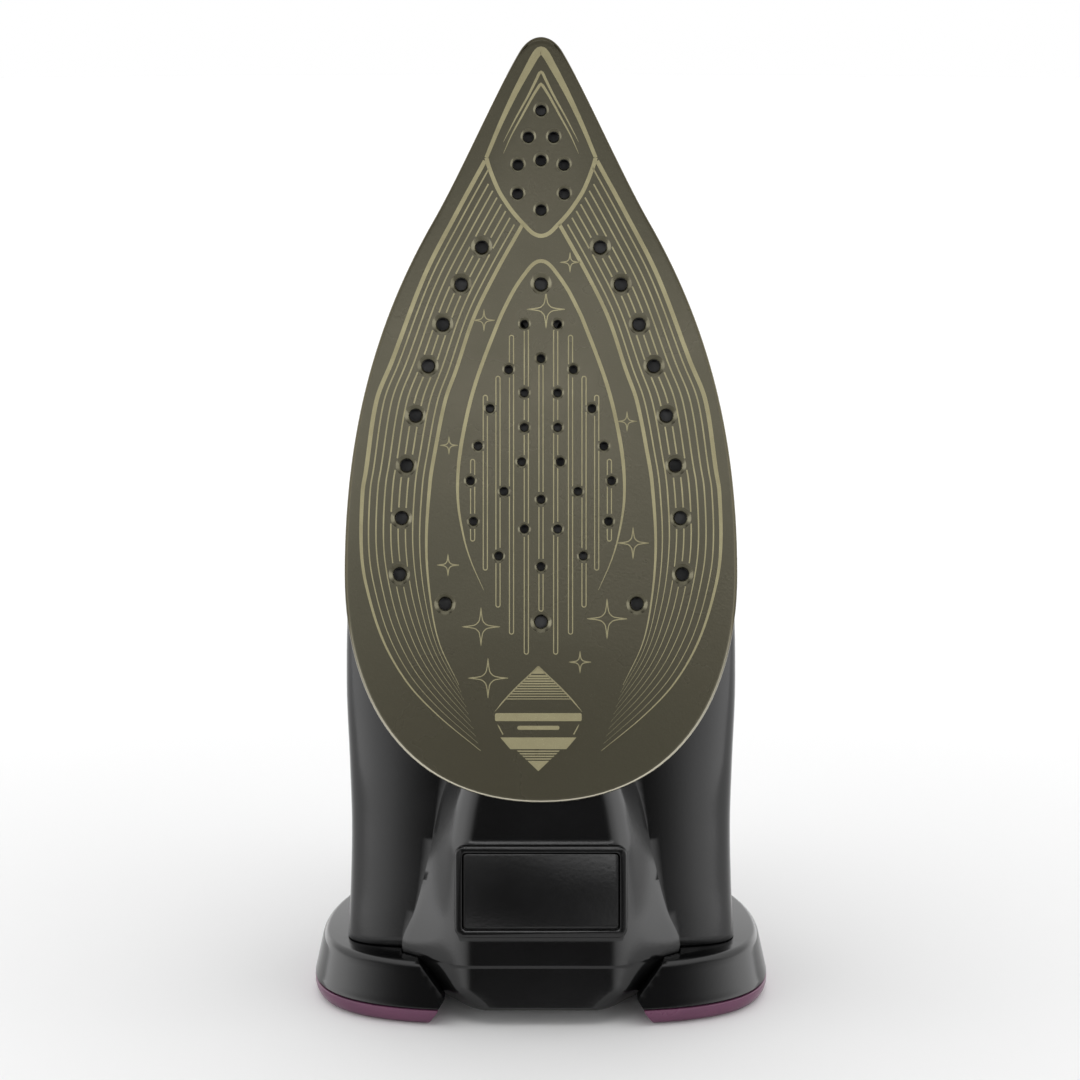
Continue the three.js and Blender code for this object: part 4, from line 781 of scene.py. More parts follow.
def along(points, count):
    """Evenly spaced points on a smooth curve through some points."""
    rows, run = [], 0.0
    for k, point in enumerate(points):
        if k:
            run += math.dist(points[k - 1], point)
        rows.append([run, *point])
    fine = [row[1:] for row in hermite_rows(rows, 16, level_peaks=False)]
    lengths = [0.0]
    for a, b in zip(fine, fine[1:]):
        lengths.append(lengths[-1] + math.dist(a, b))
    spaced, k = [], 0
    for j in range(count + 1):
        wanted = lengths[-1] * j / count
        while k < len(fine) - 2 and lengths[k + 1] < wanted:
            k += 1
        t = (wanted - lengths[k]) / max(lengths[k + 1] - lengths[k], 1e-9)
        spaced.append(tuple(a + (b - a) * t for a, b in zip(fine[k], fine[k + 1])))
    return spaced


class Print:
    """Collects flat inked shapes on the sole's face and turns them into one thin piece."""

    PROUD = 0.045
    SUNK = 0.02

    def __init__(self, holes):
        self.holes = holes
        self.points = []
        self.faces = []

    def clear_of_holes(self, x, z, margin):
        return all((x - hx) ** 2 + (z - hz) ** 2 > (sink + margin) ** 2 for hx, hz, _, sink in self.holes)

    def strip(self, points, widths):
        """A closed thin strip along some points, of the width given at each."""
        if len(points) < 2:
            return
        start = len(self.points)
        for k, (x, z) in enumerate(points):
            (x0, z0), (x1, z1) = points[max(k - 1, 0)], points[min(k + 1, len(points) - 1)]
            length = math.hypot(x1 - x0, z1 - z0) or 1.0
            nx, nz = -(z1 - z0) / length, (x1 - x0) / length
            half = widths[k] / 2
            for y in (-self.PROUD, self.SUNK):
                for side in (-1, 1):
                    self.points.append(stand(x + side * nx * half, y, z + side * nz * half))
        for k in range(len(points) - 1):
            a, b = start + 4 * k, start + 4 * (k + 1)
            self.faces += [(a, a + 1, b + 1, b), (a + 2, b + 2, b + 3, a + 3), (a, b, b + 2, a + 2),
                           (a + 1, a + 3, b + 3, b + 1)]
        last = start + 4 * (len(points) - 1)
        self.faces += [(start, start + 2, start + 3, start + 1), (last, last + 1, last + 3, last + 2)]

    def line(self, points, width, ends=(1.0, 1.0), step=0.7, reach=0.18):
        """A line that swells from its end shares to its full width and stops short of every hole."""
        length = sum(math.dist(a, b) for a, b in zip(points, points[1:]))
        fine = along(points, max(4, int(length / step)))
        run, widths = [], []
        for k, (x, z) in enumerate(fine):
            t = k / (len(fine) - 1)
            share = min(1.0, ends[0] + t / reach * (1 - ends[0]), ends[1] + (1 - t) / reach * (1 - ends[1]))
            if self.clear_of_holes(x, z, 0.05):
                run.append((x, z))
                widths.append(max(width * share, 0.05))
            else:
                self.strip(run, widths)
                run, widths = [], []
        self.strip(run, widths)

    def patch(self, corners):
        """A filled flat shape with straight sides."""
        start, count = len(self.points), len(corners)
        for y in (-self.PROUD, self.SUNK):
            self.points += [stand(x, y, z) for x, z in corners]
        self.faces.append(tuple(range(start, start + count)))
        self.faces.append(tuple(range(start + 2 * count - 1, start + count - 1, -1)))
        for k in range(count):
            j = (k + 1) % count
            self.faces.append((start + k, start + count + k, start + count + j, start + j))

    def piece(self, name):
        mesh = bpy.data.meshes.new(name)
        mesh.from_pydata([tuple(p) for p in self.points], [], self.faces)
        made = bpy.data.objects.new(name, mesh)
        bpy.context.collection.objects.link(made)
        only(made)
        bpy.ops.object.mode_set(mode="EDIT")
        bpy.ops.mesh.select_all(action="SELECT")
        bpy.ops.mesh.normals_make_consistent(inside=False)
        bpy.ops.object.mode_set(mode="OBJECT")
        return made


def through_apex(half):
    """A line from side to side over the middle, from the half that ends or starts in the middle."""
    inward = list(half) if half[-1][0] == 0 else list(half)[::-1]
    return inward + [(-x, z) for x, z in inward[-2::-1]]


def in_kite(x, z):
    """Whether a place lies inside the kite's lower half."""
    if z < KITE_FOOT[-1][1]:
        return False
    for (x0, z0), (x1, z1) in zip(KITE_FOOT, KITE_FOOT[1:]):
        if z1 <= z <= z0:
            return abs(x) < x1 + (x0 - x1) * (z - z1) / (z0 - z1)
    return abs(x) < KITE_FOOT[0][0]


def both_sides(points):
    return ([(side * x, z) for x, z in points] for side in (-1, 1))


def capsule_outline(x, low, high, radius):
    """A long closed outline with round ends."""
    points = []
    for k in range(13):
        a = math.pi * k / 12
        points.append((x + radius * math.cos(a), high - radius + radius * math.sin(a)))
    for k in range(13):
        a = math.pi + math.pi * k / 12
        points.append((x + radius * math.cos(a), low + radius + radius * math.sin(a)))
    return points + points[:1]


# One arm of a sparkle and its hollow flank: shares of the radius along the arm and across it.
SPARKLE_ARM = (
    (1.0, 0.0), (0.62, 0.035), (0.38, 0.075), (0.27, 0.12), (0.19, 0.19), (0.12, 0.27), (0.075, 0.38),
    (0.035, 0.62),
)


def sparkle_outline(x, z, radius):
    """A four-armed sparkle round a place."""
    points = []
    for k in range(4):
        a = math.pi / 2 * k
        ahead, aside = (math.cos(a), math.sin(a)), (-math.sin(a), math.cos(a))
        for along_arm, across in SPARKLE_ARM:
            points.append((x + radius * (along_arm * ahead[0] + across * aside[0]),
                           z + radius * (along_arm * ahead[1] + across * aside[1])))
    return points + points[:1]


def make_print(settings):
    """All of the sole's printed lines, as one thin piece."""
    ink = Print(hole_places(settings))
    bold, fine = settings.border_line * 1000, settings.fine_line * 1000
    for side in both_sides(OUTER_BORDER):
        ink.line(side, bold * 1.15, (1.0, 0.1), reach=0.5)
    for side in both_sides(INNER_BORDER):
        ink.line(side, bold, (1.0, 0.1), reach=0.45)
    ink.line(through_apex(LEAF), bold, (0.1, 0.1), reach=0.2)
    outer, inner = along(OUTER_BORDER, 60), along(INNER_BORDER, 60)
    count = settings.fine_lines
    for k in range(1, count + 1):
        t = k / (count + 1)
        middle = [tuple(a + (b - a) * t for a, b in zip(p, q)) for p, q in zip(outer, inner)]
        for side in both_sides(middle):
            ink.line([p for p in side if not in_kite(*p)], fine, (1.0, 0.1), reach=0.4)
    spaced = along(through_apex(KITE_TOP), 120)
    ink.strip(spaced, [1.15 + 1.35 * (1 - abs(j / 60 - 1)) ** 1.6 for j in range(121)])
    ink.line(through_apex(KITE_FOOT), 1.2)
    for chevron in CHEVRONS:
        spaced = along(through_apex(chevron), 80)
        ink.strip(spaced, [0.06 + 0.8 * (1 - abs(j / 40 - 1)) ** 0.7 for j in range(81)])
    for x, low, high in CAPSULES:
        for side in (-1, 1) if x else (1,):
            ink_outline(ink, capsule_outline(side * x, low, high, 0.62), 0.32)
    for x, z, radius in SPARKLES:
        ink_outline(ink, sparkle_outline(x, z, radius), 0.3)
    make_badge(ink, settings.badge_offset * 1000)
    piece = ink.piece("sole_decoration")
    return finish_piece(piece, "iron", material("pale_gold_print"), angle=20.0)


def ink_outline(ink, points, width):
    """A closed outline of straight stretches, cut where a hole interrupts it."""
    step = 0.5
    run, widths = [], []
    for a, b in zip(points, points[1:]):
        pieces = max(1, int(math.dist(a, b) / step))
        for j in range(pieces):
            x, z = (p + (q - p) * j / pieces for p, q in zip(a, b))
            if ink.clear_of_holes(x, z, 0.05):
                run.append((x, z))
                widths.append(width)
            else:
                ink.strip(run, widths)
                run, widths = [], []
    if ink.clear_of_holes(*points[-1], 0.05):
        run.append(points[-1])
        widths.append(width)
    ink.strip(run, widths)


def make_badge(ink, shift):
    """A plain striped diamond near the sole's rear edge, with two plain bars across its middle."""
    half = ((41.0, 0.0), (38.2, 2.9), (35.0, 6.3), (31.2, 9.9), (27.4, 13.1), (24.4, 13.1), (20.0, 10.4),
            (15.0, 5.7), (9.6, 0.0))

    def reach(z):
        for (z0, x0), (z1, x1) in zip(half, half[1:]):
            if z1 <= z <= z0:
                return x0 + (x1 - x0) * (z0 - z) / (z0 - z1)
        return 0.0

    def band(high, low, spare=0.0):
        a, b = max(reach(high) - spare, 0), max(reach(low) - spare, 0)
        corners = [(-a, high), (a, high), (b, low), (-b, low)]
        if a < 0.03:
            corners = [(0, high), (b, low), (-b, low)]
        if b < 0.03:
            corners = [(-a, high), (a, high), (0, low)]
        ink.patch([(x + shift, z) for x, z in corners])

    for high, low in zip((41.0, 40.4, 39.6), (40.4, 39.6, 38.8)):
        band(high, low)
    z, thickness = 38.4, 0.56
    while z > 30.6:
        band(z, z - thickness)
        z -= 0.78
        thickness *= 0.92
    for side in (-1, 1):
        edge = [(side * x + shift, z) for z, x in half[:5]]
        ink.line(edge, 0.4, (1.0, 0.2))
        ink.line([(side * 12.2 + shift, 23.6), (side * 10.6 + shift, 20.6)], 0.34, (0.2, 1.0))
    for width, high, low in ((26.0, 27.0, 24.6), (12.6, 23.2, 22.0)):
        corners = rounded_rectangle(width, high - low, 0.5, 4)
        ink.patch([(x + shift, z + (high + low) / 2) for x, z in corners])
    banner = ((-11.4, 19.7), (11.4, 19.7), (8.4, 16.2), (-8.4, 16.2))
    ink.patch([(x + shift, z) for x, z in banner])
    z = 15.8
    while z > 12.8:
        band(z, z - 0.42)
        z -= 0.78
    band(12.7, 11.2)
    band(11.2, 9.6)


# ---------------------------------------------------------------- the body hull
def body_rows():
    """Sections of the body, from the heel to the nose.

    Each is its place lengthways, its half width, its lowest, widest and highest depth, and how square it is
    below and above.
    """
    rear = (
        (-0.95, 1.005, 4.6, 23, 0.75, 4.5, 2.2), (-0.66, 1, 4.2, 22, 0.745, 4.5, 2.2),
        (-0.42, 0.985, 3, 20, 0.715, 4, 2.2), (-0.14, 0.977, 1.5, 17, 0.645, 3.6, 2.3),
        (0.14, 0.985, 0, 14, 0.56, 3.2, 2.5),
    )
    middle = ((0.15, 1, 12.5, 1.06), (0.27, 0.99, 12, 1), (0.39, 0.935, 11, 0.97))
    front = (
        (0.52, 10, 0.955, 2.8), (0.65, 9, 0.925, 2.7), (0.76, 8, 0.88, 2.6), (0.85, 7, 0.785, 2.5),
        (0.915, 6, 0.705, 2.4), (0.953, 5, 0.59, 2.2),
    )
    rows = [
        (z * HEEL_DROP, BODY_HALF * w, BODY_BASE + rise, BODY_BASE + wide, IRON_HEIGHT * top, low, up)
        for z, w, rise, wide, top, low, up in rear
    ]
    rows += [
        (z * SOLE_LENGTH, BODY_HALF * w, BODY_BASE, BODY_BASE + wide, SADDLE * top, 3, 2.8)
        for z, w, wide, top in middle
    ]
    rows += [
        (z * SOLE_LENGTH, sole_half_at(z * SOLE_LENGTH) - SKIRT_INSET - 0.8, BODY_BASE, BODY_BASE + wide,
         SADDLE * top, 3, up)
        for z, wide, top, up in front
    ]
    return rows


def egg_ring(row, inset, count, z=None):
    """One section of the body, drawn in by an inset."""
    at, w, y0, yc, y1, low, up = row
    ring = []
    for k in range(count):
        a = 2 * math.pi * (k + 0.5) / count
        c, s = math.cos(a), math.sin(a)
        n = up if s >= 0 else low
        reach = y1 - yc - inset if s >= 0 else yc - y0 - inset
        x, y = (w - inset) * signed_power(c, 2 / n), yc + reach * signed_power(s, 2 / n)
        ring.append((x, y, at if z is None else z))
    return ring


def body_hull(name, inset=0.0, count=96, per_row=6):
    """The whole body from heel to nose as one closed shape, drawn in by an inset."""
    rows = hermite_rows(body_rows(), per_row)
    rings = [[stand(*p) for p in egg_ring(row, inset, count)] for row in rows]
    last = rows[-1]
    middle = last[3]
    for t in (0.35, 0.6, 0.8, 0.93, 0.985):
        keep = math.sqrt(1 - t * t)
        ring = egg_ring(last, inset, count, last[0] - inset + 4.5 * t)
        rings.append([stand(x * keep, middle + (y - middle) * keep, z) for x, y, z in ring])
    return loft(name, rings)


def body_top_at(z):
    """The body's highest depth at a place along it."""
    rows = body_rows()
    for a, b in zip(rows, rows[1:]):
        if a[0] <= z <= b[0]:
            return a[4] + (b[4] - a[4]) * (z - a[0]) / (b[0] - a[0])
    return rows[-1][4]


def slab(name, profile, half):
    """A side view, lengthways and deep, drawn across by half each way."""
    return loft(name, [[stand(x, y, z) for z, y in profile] for x in (-half, half)])


def split_slab(name, shift, forward):
    """The room on one side of the seam between the rear body and the tank."""
    top, bottom = SOLE_LENGTH * 0.33 + shift, SOLE_LENGTH * 0.45 + shift
    end = 400 if forward else -400
    curve = bezier_points(
        (bottom, SKIRT_TOP), (bottom - 12, SADDLE * 0.7), (top + 8, SADDLE * 0.8), (top, SADDLE * 1.1), 20
    )
    return slab(name, [(end, -20), (bottom + 12, -20), *curve, (top, 160), (end, 160)], 90)


# The housing: its half width, the corner of its flat front, how far its sides run square, and its half
# width at shares of the heel's drop.
HOUSING_HALF = 43.0
HOUSING_FRONT = 12
HOUSING_CORNER = 25.5
HOUSING_SHOULDER = 6.2
HOUSING_STATIONS = (
    (0.175, 0.6), (0, 0.71), (-0.14, 0.765), (-0.28, 0.815), (-0.49, 0.905), (-0.64, 1), (-0.72, 0.955),
    (-0.81, 0.81), (-0.87, 0.66), (-0.93, 0.56),
)


def housing(name, grow=0.0):
    """The ridge down the middle of the body's underside, which carries the rating plate."""
    base, front = SKIRT_TOP + 7, HOUSING_FRONT - grow
    rows = [(-share * HEEL_DROP, width) for share, width in HOUSING_STATIONS]
    turn = 0.34  # the share of the slanted side that bends into the flat front
    rings = []
    for drop, width in hermite_rows(rows, 5):
        w = HOUSING_HALF * width + grow
        corner, deep = min(HOUSING_CORNER, 0.75 * w), base - HOUSING_SHOULDER - front
        flat = corner - 5
        half = [(w, base)]
        half += [(corner + (w - corner) * t, front + deep * t) for t in (1, 0.86, 0.72, 0.58, 0.44)]
        for k in range(13):
            t = k / 12
            x = (1 - t) ** 2 * (corner + (w - corner) * turn) + 2 * t * (1 - t) * corner + t * t * flat
            half.append((x, front + (1 - t) ** 2 * deep * turn))
        half += [(flat * t, front) for t in (0.8, 0.6, 0.4, 0.2)]
        section = half + [(0.0, front)] + [(-x, y) for x, y in half[::-1]]
        arc = [stand(x, y, -drop) for x, y in section]
        arc += [stand(-w, base + 8, -drop), stand(w, base + 8, -drop)]
        rings.append(arc)
    return loft(name, rings)


def box_piece(name, low, high, place=stand):
    """A block between two corners in one of the iron's own frames."""
    (x0, y0, z0), (x1, y1, z1) = low, high
    corners = ((x0, y0), (x1, y0), (x1, y1), (x0, y1))
    return loft(name, [[place(x, y, z) for x, y in corners] for z in (z0, z1)])


def cross_bar(name, y, z, radii, half, sides, place=stand):
    """A round bar lying across the iron, with its radius deep and its radius lengthways."""
    deep, lengthways = radii
    rings = []
    for x in (-half, half):
        angles = (2 * math.pi * k / sides for k in range(sides))
        rings.append([place(x, y + deep * math.cos(a), z + lengthways * math.sin(a)) for a in angles])
    return loft(name, rings)


RATING = (-HEEL_DROP * 0.39, 52.6, 28.2, 2.2)


def make_rear_body():
    """The rear half of the body with its housing, its framed recess and the dial's well."""
    hull = body_hull("rear_shell")
    combine(hull, split_slab("rear_half", -FIT / 2, False), "INTERSECT")
    ridge = housing("housing")
    room = prism("skirt_room", mirrored(sole_half(SKIRT_INSET - FIT, 20)), -5, SKIRT_TOP + FIT)
    combine(ridge, room)
    combine(hull, ridge, "UNION")
    bisected(hull, (0, 0, (HEEL_RIM + FIT) / 1000), (0, 0, 1), "inner")
    foot = housing("foot", -0.05)
    bisected(foot, (0, 0, 0.005), (0, 0, 1), "inner")
    bisected(foot, (0, 0, (HEEL_RIM + FIT + 1.5) / 1000), (0, 0, 1), "outer")
    combine(hull, foot, "UNION")
    z, width, height, ridge_width = RATING
    rim = prism("rim", [(x, z + dz) for x, dz in rounded_rectangle(width, height, 3)], 10.9, 20, edge=0.55)
    combine(hull, rim, "UNION")
    inner = rounded_rectangle(width - 2 * ridge_width, height - 2 * ridge_width, 1.4)
    recess = prism("recess", [(x, z + dz) for x, dz in inner], 8, 12 + 1.4 + FIT)
    combine(hull, recess)
    top = body_top_at(DIAL_Z) + DIAL_HEIGHT * 0.55
    floor = top - DIAL_HEIGHT - FIT
    well = turned("well", ((0, floor), (23.2, floor), (23.2, top + 50), (0, top + 50)), z=DIAL_Z)
    combine(hull, well)
    low = SKIRT_TOP - 4
    shaft = turned("shaft", ((0, low), (SHAFT_ROOM, low), (SHAFT_ROOM, top), (0, top)), z=DIAL_Z, sides=32)
    combine(hull, shaft)
    cleaned(hull)
    bevelled(hull, 0.45, 2, 40)
    finish_piece(hull, "iron", material("gloss_black"), ["rear_body"])
    make_rating_plate()
    make_dial_marks()


def make_rating_plate():
    """The plain panel inside the housing's frame."""
    z, width, height, ridge_width = RATING
    trim = 2 * (ridge_width + FIT)
    outline = [(x, z + dz) for x, dz in rounded_rectangle(width - trim, height - trim, 1.2)]
    plate = prism("rating_panel", outline, 12.0, 13.3, edge=0.3)
    finish_piece(plate, "iron", material("satin_black"), ["rating_plate"])


def make_dial_marks():
    """Raised dots round the dial, growing towards the hottest setting."""
    dots = []
    for k in range(9):
        angle = math.radians(-120 + 30 * k)
        radius = 0.45 + 0.08 * k
        x, z = 26.2 * math.sin(angle), DIAL_Z + 26.2 * math.cos(angle)
        y = hull_top(x, z)
        profile = ((0, y - 0.6), (radius, y - 0.6), (radius, y + 0.1), (radius * 0.6, y + 0.3), (0, y + 0.36))
        dots.append(turned(f"dot_{k}", profile, x=x, z=z, sides=20))
    marks = merged("dial_marks", dots)
    finish_piece(marks, "iron", material("white_moulding"))


def hull_top(x, z):
    """The body's upper surface over a place across and lengthways."""
    rows = hermite_rows(body_rows(), 6)
    distances = [abs(row[0] - z) for row in rows]
    _, w, _, yc, y1, _, up = rows[distances.index(min(distances))]
    return yc + (y1 - yc) * max(0.0, 1 - abs(x / w) ** up) ** (1 / up)


# ---------------------------------------------------------------- the heel
def heel_outline(half, front, rear, per_curve=40):
    """Half of the heel's outline, from the middle of its front round to the middle of its rear."""
    middle = front + (rear - front) * 0.325
    curves = (
        ((0, front), (half * 0.65, front), (half, front + (middle - front) * 0.16), (half, middle)),
        ((half, middle), (half, middle + (rear - middle) * 0.56), (half * 0.57, rear), (0, rear)),
    )
    return joined_curves(curves, per_curve)


FOOT = (71.5, -4.0, HEEL_DEPTH)
BRIM = (68.8, 4.0, HEEL_DEPTH - 2.7)


def heel_ring(share, inset, height):
    """The heel's outline at a share of the way from its foot to its brim, drawn in by an inset."""
    half, front, rear = (a + (b - a) * share for a, b in zip(FOOT, BRIM))
    points = mirrored(heel_outline(half - inset, front + inset, rear - inset))
    return [upright(x, y, height) for x, y in points]


def heel_loft(name, inset, low, high, rounding=0.0):
    """The heel between two heights, with its upper rim rounded if asked."""
    steps = 6
    rings = [heel_ring(0, inset + 0.3 * bool(rounding), low)]
    if rounding:
        rings.append(heel_ring(0.02, inset, low + 0.4))
    span = high - low
    for k in range(1, 9):
        rings.append(heel_ring(k / 8 * (span - rounding) / span, inset, low + k / 8 * (span - rounding)))
    if rounding:
        for k in range(1, steps + 1):
            a = math.pi / 2 * k / steps
            height = high - rounding * (1 - math.sin(a))
            rings.append(heel_ring((height - low) / span, inset + rounding * (1 - math.cos(a)), height))
    return loft(name, rings)


def make_heel():
    """The heel shell round the housing, and the pads under its two feet."""
    base = heel_loft("heel_shell", 0, HEEL_START, HEEL_RIM, 1.6)
    combine(base, heel_loft("hollow", 3, HEEL_START - 4, HEEL_RIM - 3))
    combine(base, housing("housing_room", FIT + 0.25))
    combine(base, heel_gap())
    cleaned(base)
    bevelled(base, 0.5, 2, 45)
    finish_piece(base, "iron", material("gloss_black"), ["heel_base"])
    for side, name in ((-1, "heel_pad_left"), (1, "heel_pad_right")):
        make_pad(side, name)


def heel_gap():
    """The room between the feet, which widens upwards along the housing's sides."""
    rim = [(x, h) for h, x in HEEL_GAP] + [(-x, h) for h, x in HEEL_GAP[::-1]]
    return loft("gap", [[upright(x, y, h) for x, h in rim] for y in (-34, 26)])


def make_pad(side, node):
    """One foot pad: a rounded band swept round half of the heel's outline."""
    points = heel_outline(*FOOT, 60)
    path = [p for p in points if not (p[0] < 26 and p[1] < 40) and not (p[0] < 14 and p[1] > 60)]
    section = [(0.0, 5.0), (0.0, 3.4), (0.35, 2.1), (0.95, 1.1), (1.7, 0.35), (2.6, 0.0), (14.2, 0.0),
               (14.7, 0.2), (15.0, 0.7), (15.0, 5.0)]
    rings = []
    for k, (x, y) in enumerate(path):
        (x0, y0), (x1, y1) = path[max(k - 1, 0)], path[min(k + 1, len(path) - 1)]
        length = math.hypot(x1 - x0, y1 - y0)
        inward = (-(y1 - y0) / length, (x1 - x0) / length)
        rings.append([upright(side * (x + inward[0] * d), y + inward[1] * d, h) for d, h in section])
    pad = loft(f"{node}_skin", rings)
    combine(pad, heel_gap())
    cleaned(pad)
    bevelled(pad, 0.7, 3, 50)
    finish_piece(pad, "iron", material("plum_plastic"), [node])


# ---------------------------------------------------------------- the skirt round the heater
def make_skirt():
    """The skirt, with a groove round it and a hollow for the heater."""
    steps = 5
    rings = []
    for k in range(steps + 1):
        a = math.pi / 2 * k / steps
        inset = SKIRT_INSET + 0.8 * (1 - math.sin(a))
        rings.append([stand(x, 4 + 0.8 * (1 - math.cos(a)), z) for x, z in mirrored(sole_half(inset, 24))])
    for y, inset in ((9.6, 0), (10.1, 0.55), (10.9, 0.55), (11.4, 0), (SKIRT_TOP - 0.6, 0), (SKIRT_TOP, 0.6)):
        rings.append([stand(x, y, z) for x, z in mirrored(sole_half(SKIRT_INSET + inset, 24))])
    skirt = loft("skirt_shell", rings)
    combine(skirt, prism("inside", mirrored(sole_half(SKIRT_INSET + WALL, 20)), 3, SKIRT_TOP - WALL))
    for radius, z in ((12.0, DIAL_Z), (VALVE_ROOM, VALVE_Z)):
        combine(skirt, turned("bore", ((0, 20), (radius, 20), (radius, 26), (0, 26)), z=z, sides=40))
    finish_piece(skirt, "iron", material("matte_black"), ["skirt"])


# ---------------------------------------------------------------- the water tank and its filler
FILLER_Z = SOLE_LENGTH * 0.857
FILLER_SLOPE = math.atan2(body_top_at(FILLER_Z - 10.5) - body_top_at(FILLER_Z + 10.5), 21)


# The flap's hinge: its line in the filler's frame, and the sizes of its knuckle, lugs and pin bore.
HINGE_Y, HINGE_Z = -0.4, -8.35
KNUCKLE_RADIUS, KNUCKLE_HALF = 2.15, 3.5
LUG_RADIUS, LUG_HALF = 1.85, 1.2
PIN_ROOM = 1.2


def on_filler(x, y, z):
    """A point of the filler, which lies on the tank's sloping nose."""
    c, s = math.cos(FILLER_SLOPE), math.sin(FILLER_SLOPE)
    return stand(x, y * c - z * s + body_top_at(FILLER_Z) + 0.6, y * s + z * c + FILLER_Z)


def make_tank():
    """The tinted tank with its filler tray, mouth, valve bores and hinge lugs, and the flap on it."""
    shell = body_hull("tank_shell")
    combine(shell, split_slab("front_half", FIT / 2, True), "INTERSECT")
    neck = prism("neck", rounded_rectangle(22.4, 24.4, 4), -6.6, 0.2, on_filler, edge=0.35)
    combine(shell, neck, "UNION")
    inside = body_hull("inside", TANK_WALL, 64, 4)
    combine(inside, split_slab("inside_half", FIT / 2 + TANK_WALL, True), "INTERSECT")
    combine(inside, prism("neck_wall", rounded_rectangle(22.4, 24.4, 4), -6.6, 4, on_filler))
    combine(shell, inside)
    combine(shell, prism("tray", rounded_rectangle(19.7, 21.7, 3), -2.55, 9, on_filler))
    mouth = [(x, z + 1.4) for x, z in rounded_rectangle(12, 12, 3)]
    combine(shell, prism("mouth", mouth, -14, 1, on_filler))
    for x, z, radius, y0, y1 in (
        (0, VALVE_Z, VALVE_ROOM, SKIRT_TOP - 2, SKIRT_TOP + 8), (0, VALVE_Z, 2, SADDLE * 0.7, SADDLE * 1.2),
        (8, SOLE_LENGTH * 0.665, 2.4, SADDLE * 0.7, SADDLE * 1.2),
    ):
        combine(shell, turned("bore", ((0, y0), (radius, y0), (radius, y1), (0, y1)), x=x, z=z, sides=32))
    lugs = []
    for side in (-1, 1):
        x = side * (KNUCKLE_HALF + FIT + LUG_HALF)
        angles = [math.pi * k / 10 for k in range(11)]
        dome = [(HINGE_Z + LUG_RADIUS * math.cos(a), HINGE_Y + LUG_RADIUS * math.sin(a)) for a in angles]
        outline = [(-10.2, -2.6), (HINGE_Z - LUG_RADIUS, HINGE_Y), *dome[::-1][1:], (-6.5, -2.6)]
        sides = (x - LUG_HALF, x + LUG_HALF)
        lugs.append(loft("lug", [[on_filler(edge, y, z) for z, y in outline] for edge in sides]))
    lug = merged("lugs", lugs)
    combine(lug, cross_bar("pin_hole", HINGE_Y, HINGE_Z, (PIN_ROOM, PIN_ROOM), 9.5, 24, on_filler))
    cleaned(shell)
    whole = merged("tank_shell", [shell, lug])
    finish_piece(whole, "iron", material("smoky_tank"), ["water_tank"])
    make_door()


def make_door():
    """The filler flap: a rounded leaf with its knuckle, room for the lugs, and three ribs to lift it by."""
    rear = HINGE_Z + 0.6
    length = 10.5 - rear
    middle = rear + length / 2
    outline = [(x, z + middle) for x, z in rounded_rectangle(19, length, 2.4)]
    leaf = prism("door_leaf", outline, -2.2, 0, on_filler, edge=0.5, steps=4)
    outer = (KNUCKLE_RADIUS, KNUCKLE_RADIUS)
    knuckle = cross_bar("knuckle", HINGE_Y, HINGE_Z, outer, KNUCKLE_HALF, 32, on_filler)
    combine(knuckle, cross_bar("bore", HINGE_Y, HINGE_Z, (PIN_ROOM, PIN_ROOM), 9, 24, on_filler))
    arm = box_piece("arm", (-KNUCKLE_HALF, -1.8, rear - 0.4), (KNUCKLE_HALF, -0.3, rear + 2.5), on_filler)
    combine(leaf, arm, "UNION")
    for side in (-1, 1):
        x = side * (KNUCKLE_HALF + FIT + LUG_HALF)
        combine(leaf, box_piece("room", (x - 1.55, -4.5, -11), (x + 1.55, 4.5, -5.7), on_filler))
    ribs = []
    for k in range(3):
        z = 8.4 - 1.3 * k
        rib = [(-4.6, z - 0.3), (4.6, z - 0.3), (4.6, z + 0.3), (-4.6, z + 0.3)]
        ribs.append(prism("rib", rib, -0.4, 0.42, on_filler, edge=0.2, steps=2, both=False))
    bevelled(leaf, 0.2, 2, 50)
    door = merged("filler_flap", [leaf, knuckle, *ribs])
    finish_piece(door, "filler_door", material("plum_plastic"), ["filler_door"])


# ---------------------------------------------------------------- the handle
HANDLE_PATH = (
    (0.7, 0.36, 0.112, 0.17), (0.7, 0.56, 0.112, 0.172), (0.69, 0.72, 0.118, 0.176),
    (0.64, 0.835, 0.112, 0.178), (0.51, 0.895, 0.095, 0.165), (0.35, 0.909, 0.091, 0.156),
    (0.17, 0.885, 0.093, 0.158),
    (0.035, 0.805, 0.1, 0.168), (-0.06, 0.68, 0.12, 0.2), (-0.1, 0.54, 0.14, 0.26),
)
HANDLE_CENTRES = [Vector((z * SOLE_LENGTH, y * IRON_HEIGHT)) for z, y, _, _ in HANDLE_PATH]
HANDLE_SIZES = [Vector((thick * IRON_HEIGHT, wide * SOLE_HALF * 2)) for _, _, thick, wide in HANDLE_PATH]


def through(points, t):
    """A point at a share of the way along a smooth curve through some points, evenly paced by chords."""
    at = (len(points) - 1) * t
    k = min(int(at), len(points) - 2)
    w = at - k
    p1, p2 = points[k], points[k + 1]
    p0 = points[k - 1] if k else 2 * points[0] - points[1]
    p3 = points[k + 2] if k + 2 < len(points) else 2 * points[-1] - points[-2]
    d0, d1, d2 = (max((b - a).length ** 0.5, 1e-4) for a, b in ((p0, p1), (p1, p2), (p2, p3)))
    m1 = ((p1 - p0) / d0 - (p2 - p0) / (d0 + d1) + (p2 - p1) / d1) * d1
    m2 = ((p2 - p1) / d1 - (p3 - p1) / (d1 + d2) + (p3 - p2) / d2) * d1
    return p1 + m1 * w + (-3 * p1 + 3 * p2 - 2 * m1 - m2) * w * w + (2 * p1 - 2 * p2 + m1 + m2) * w**3


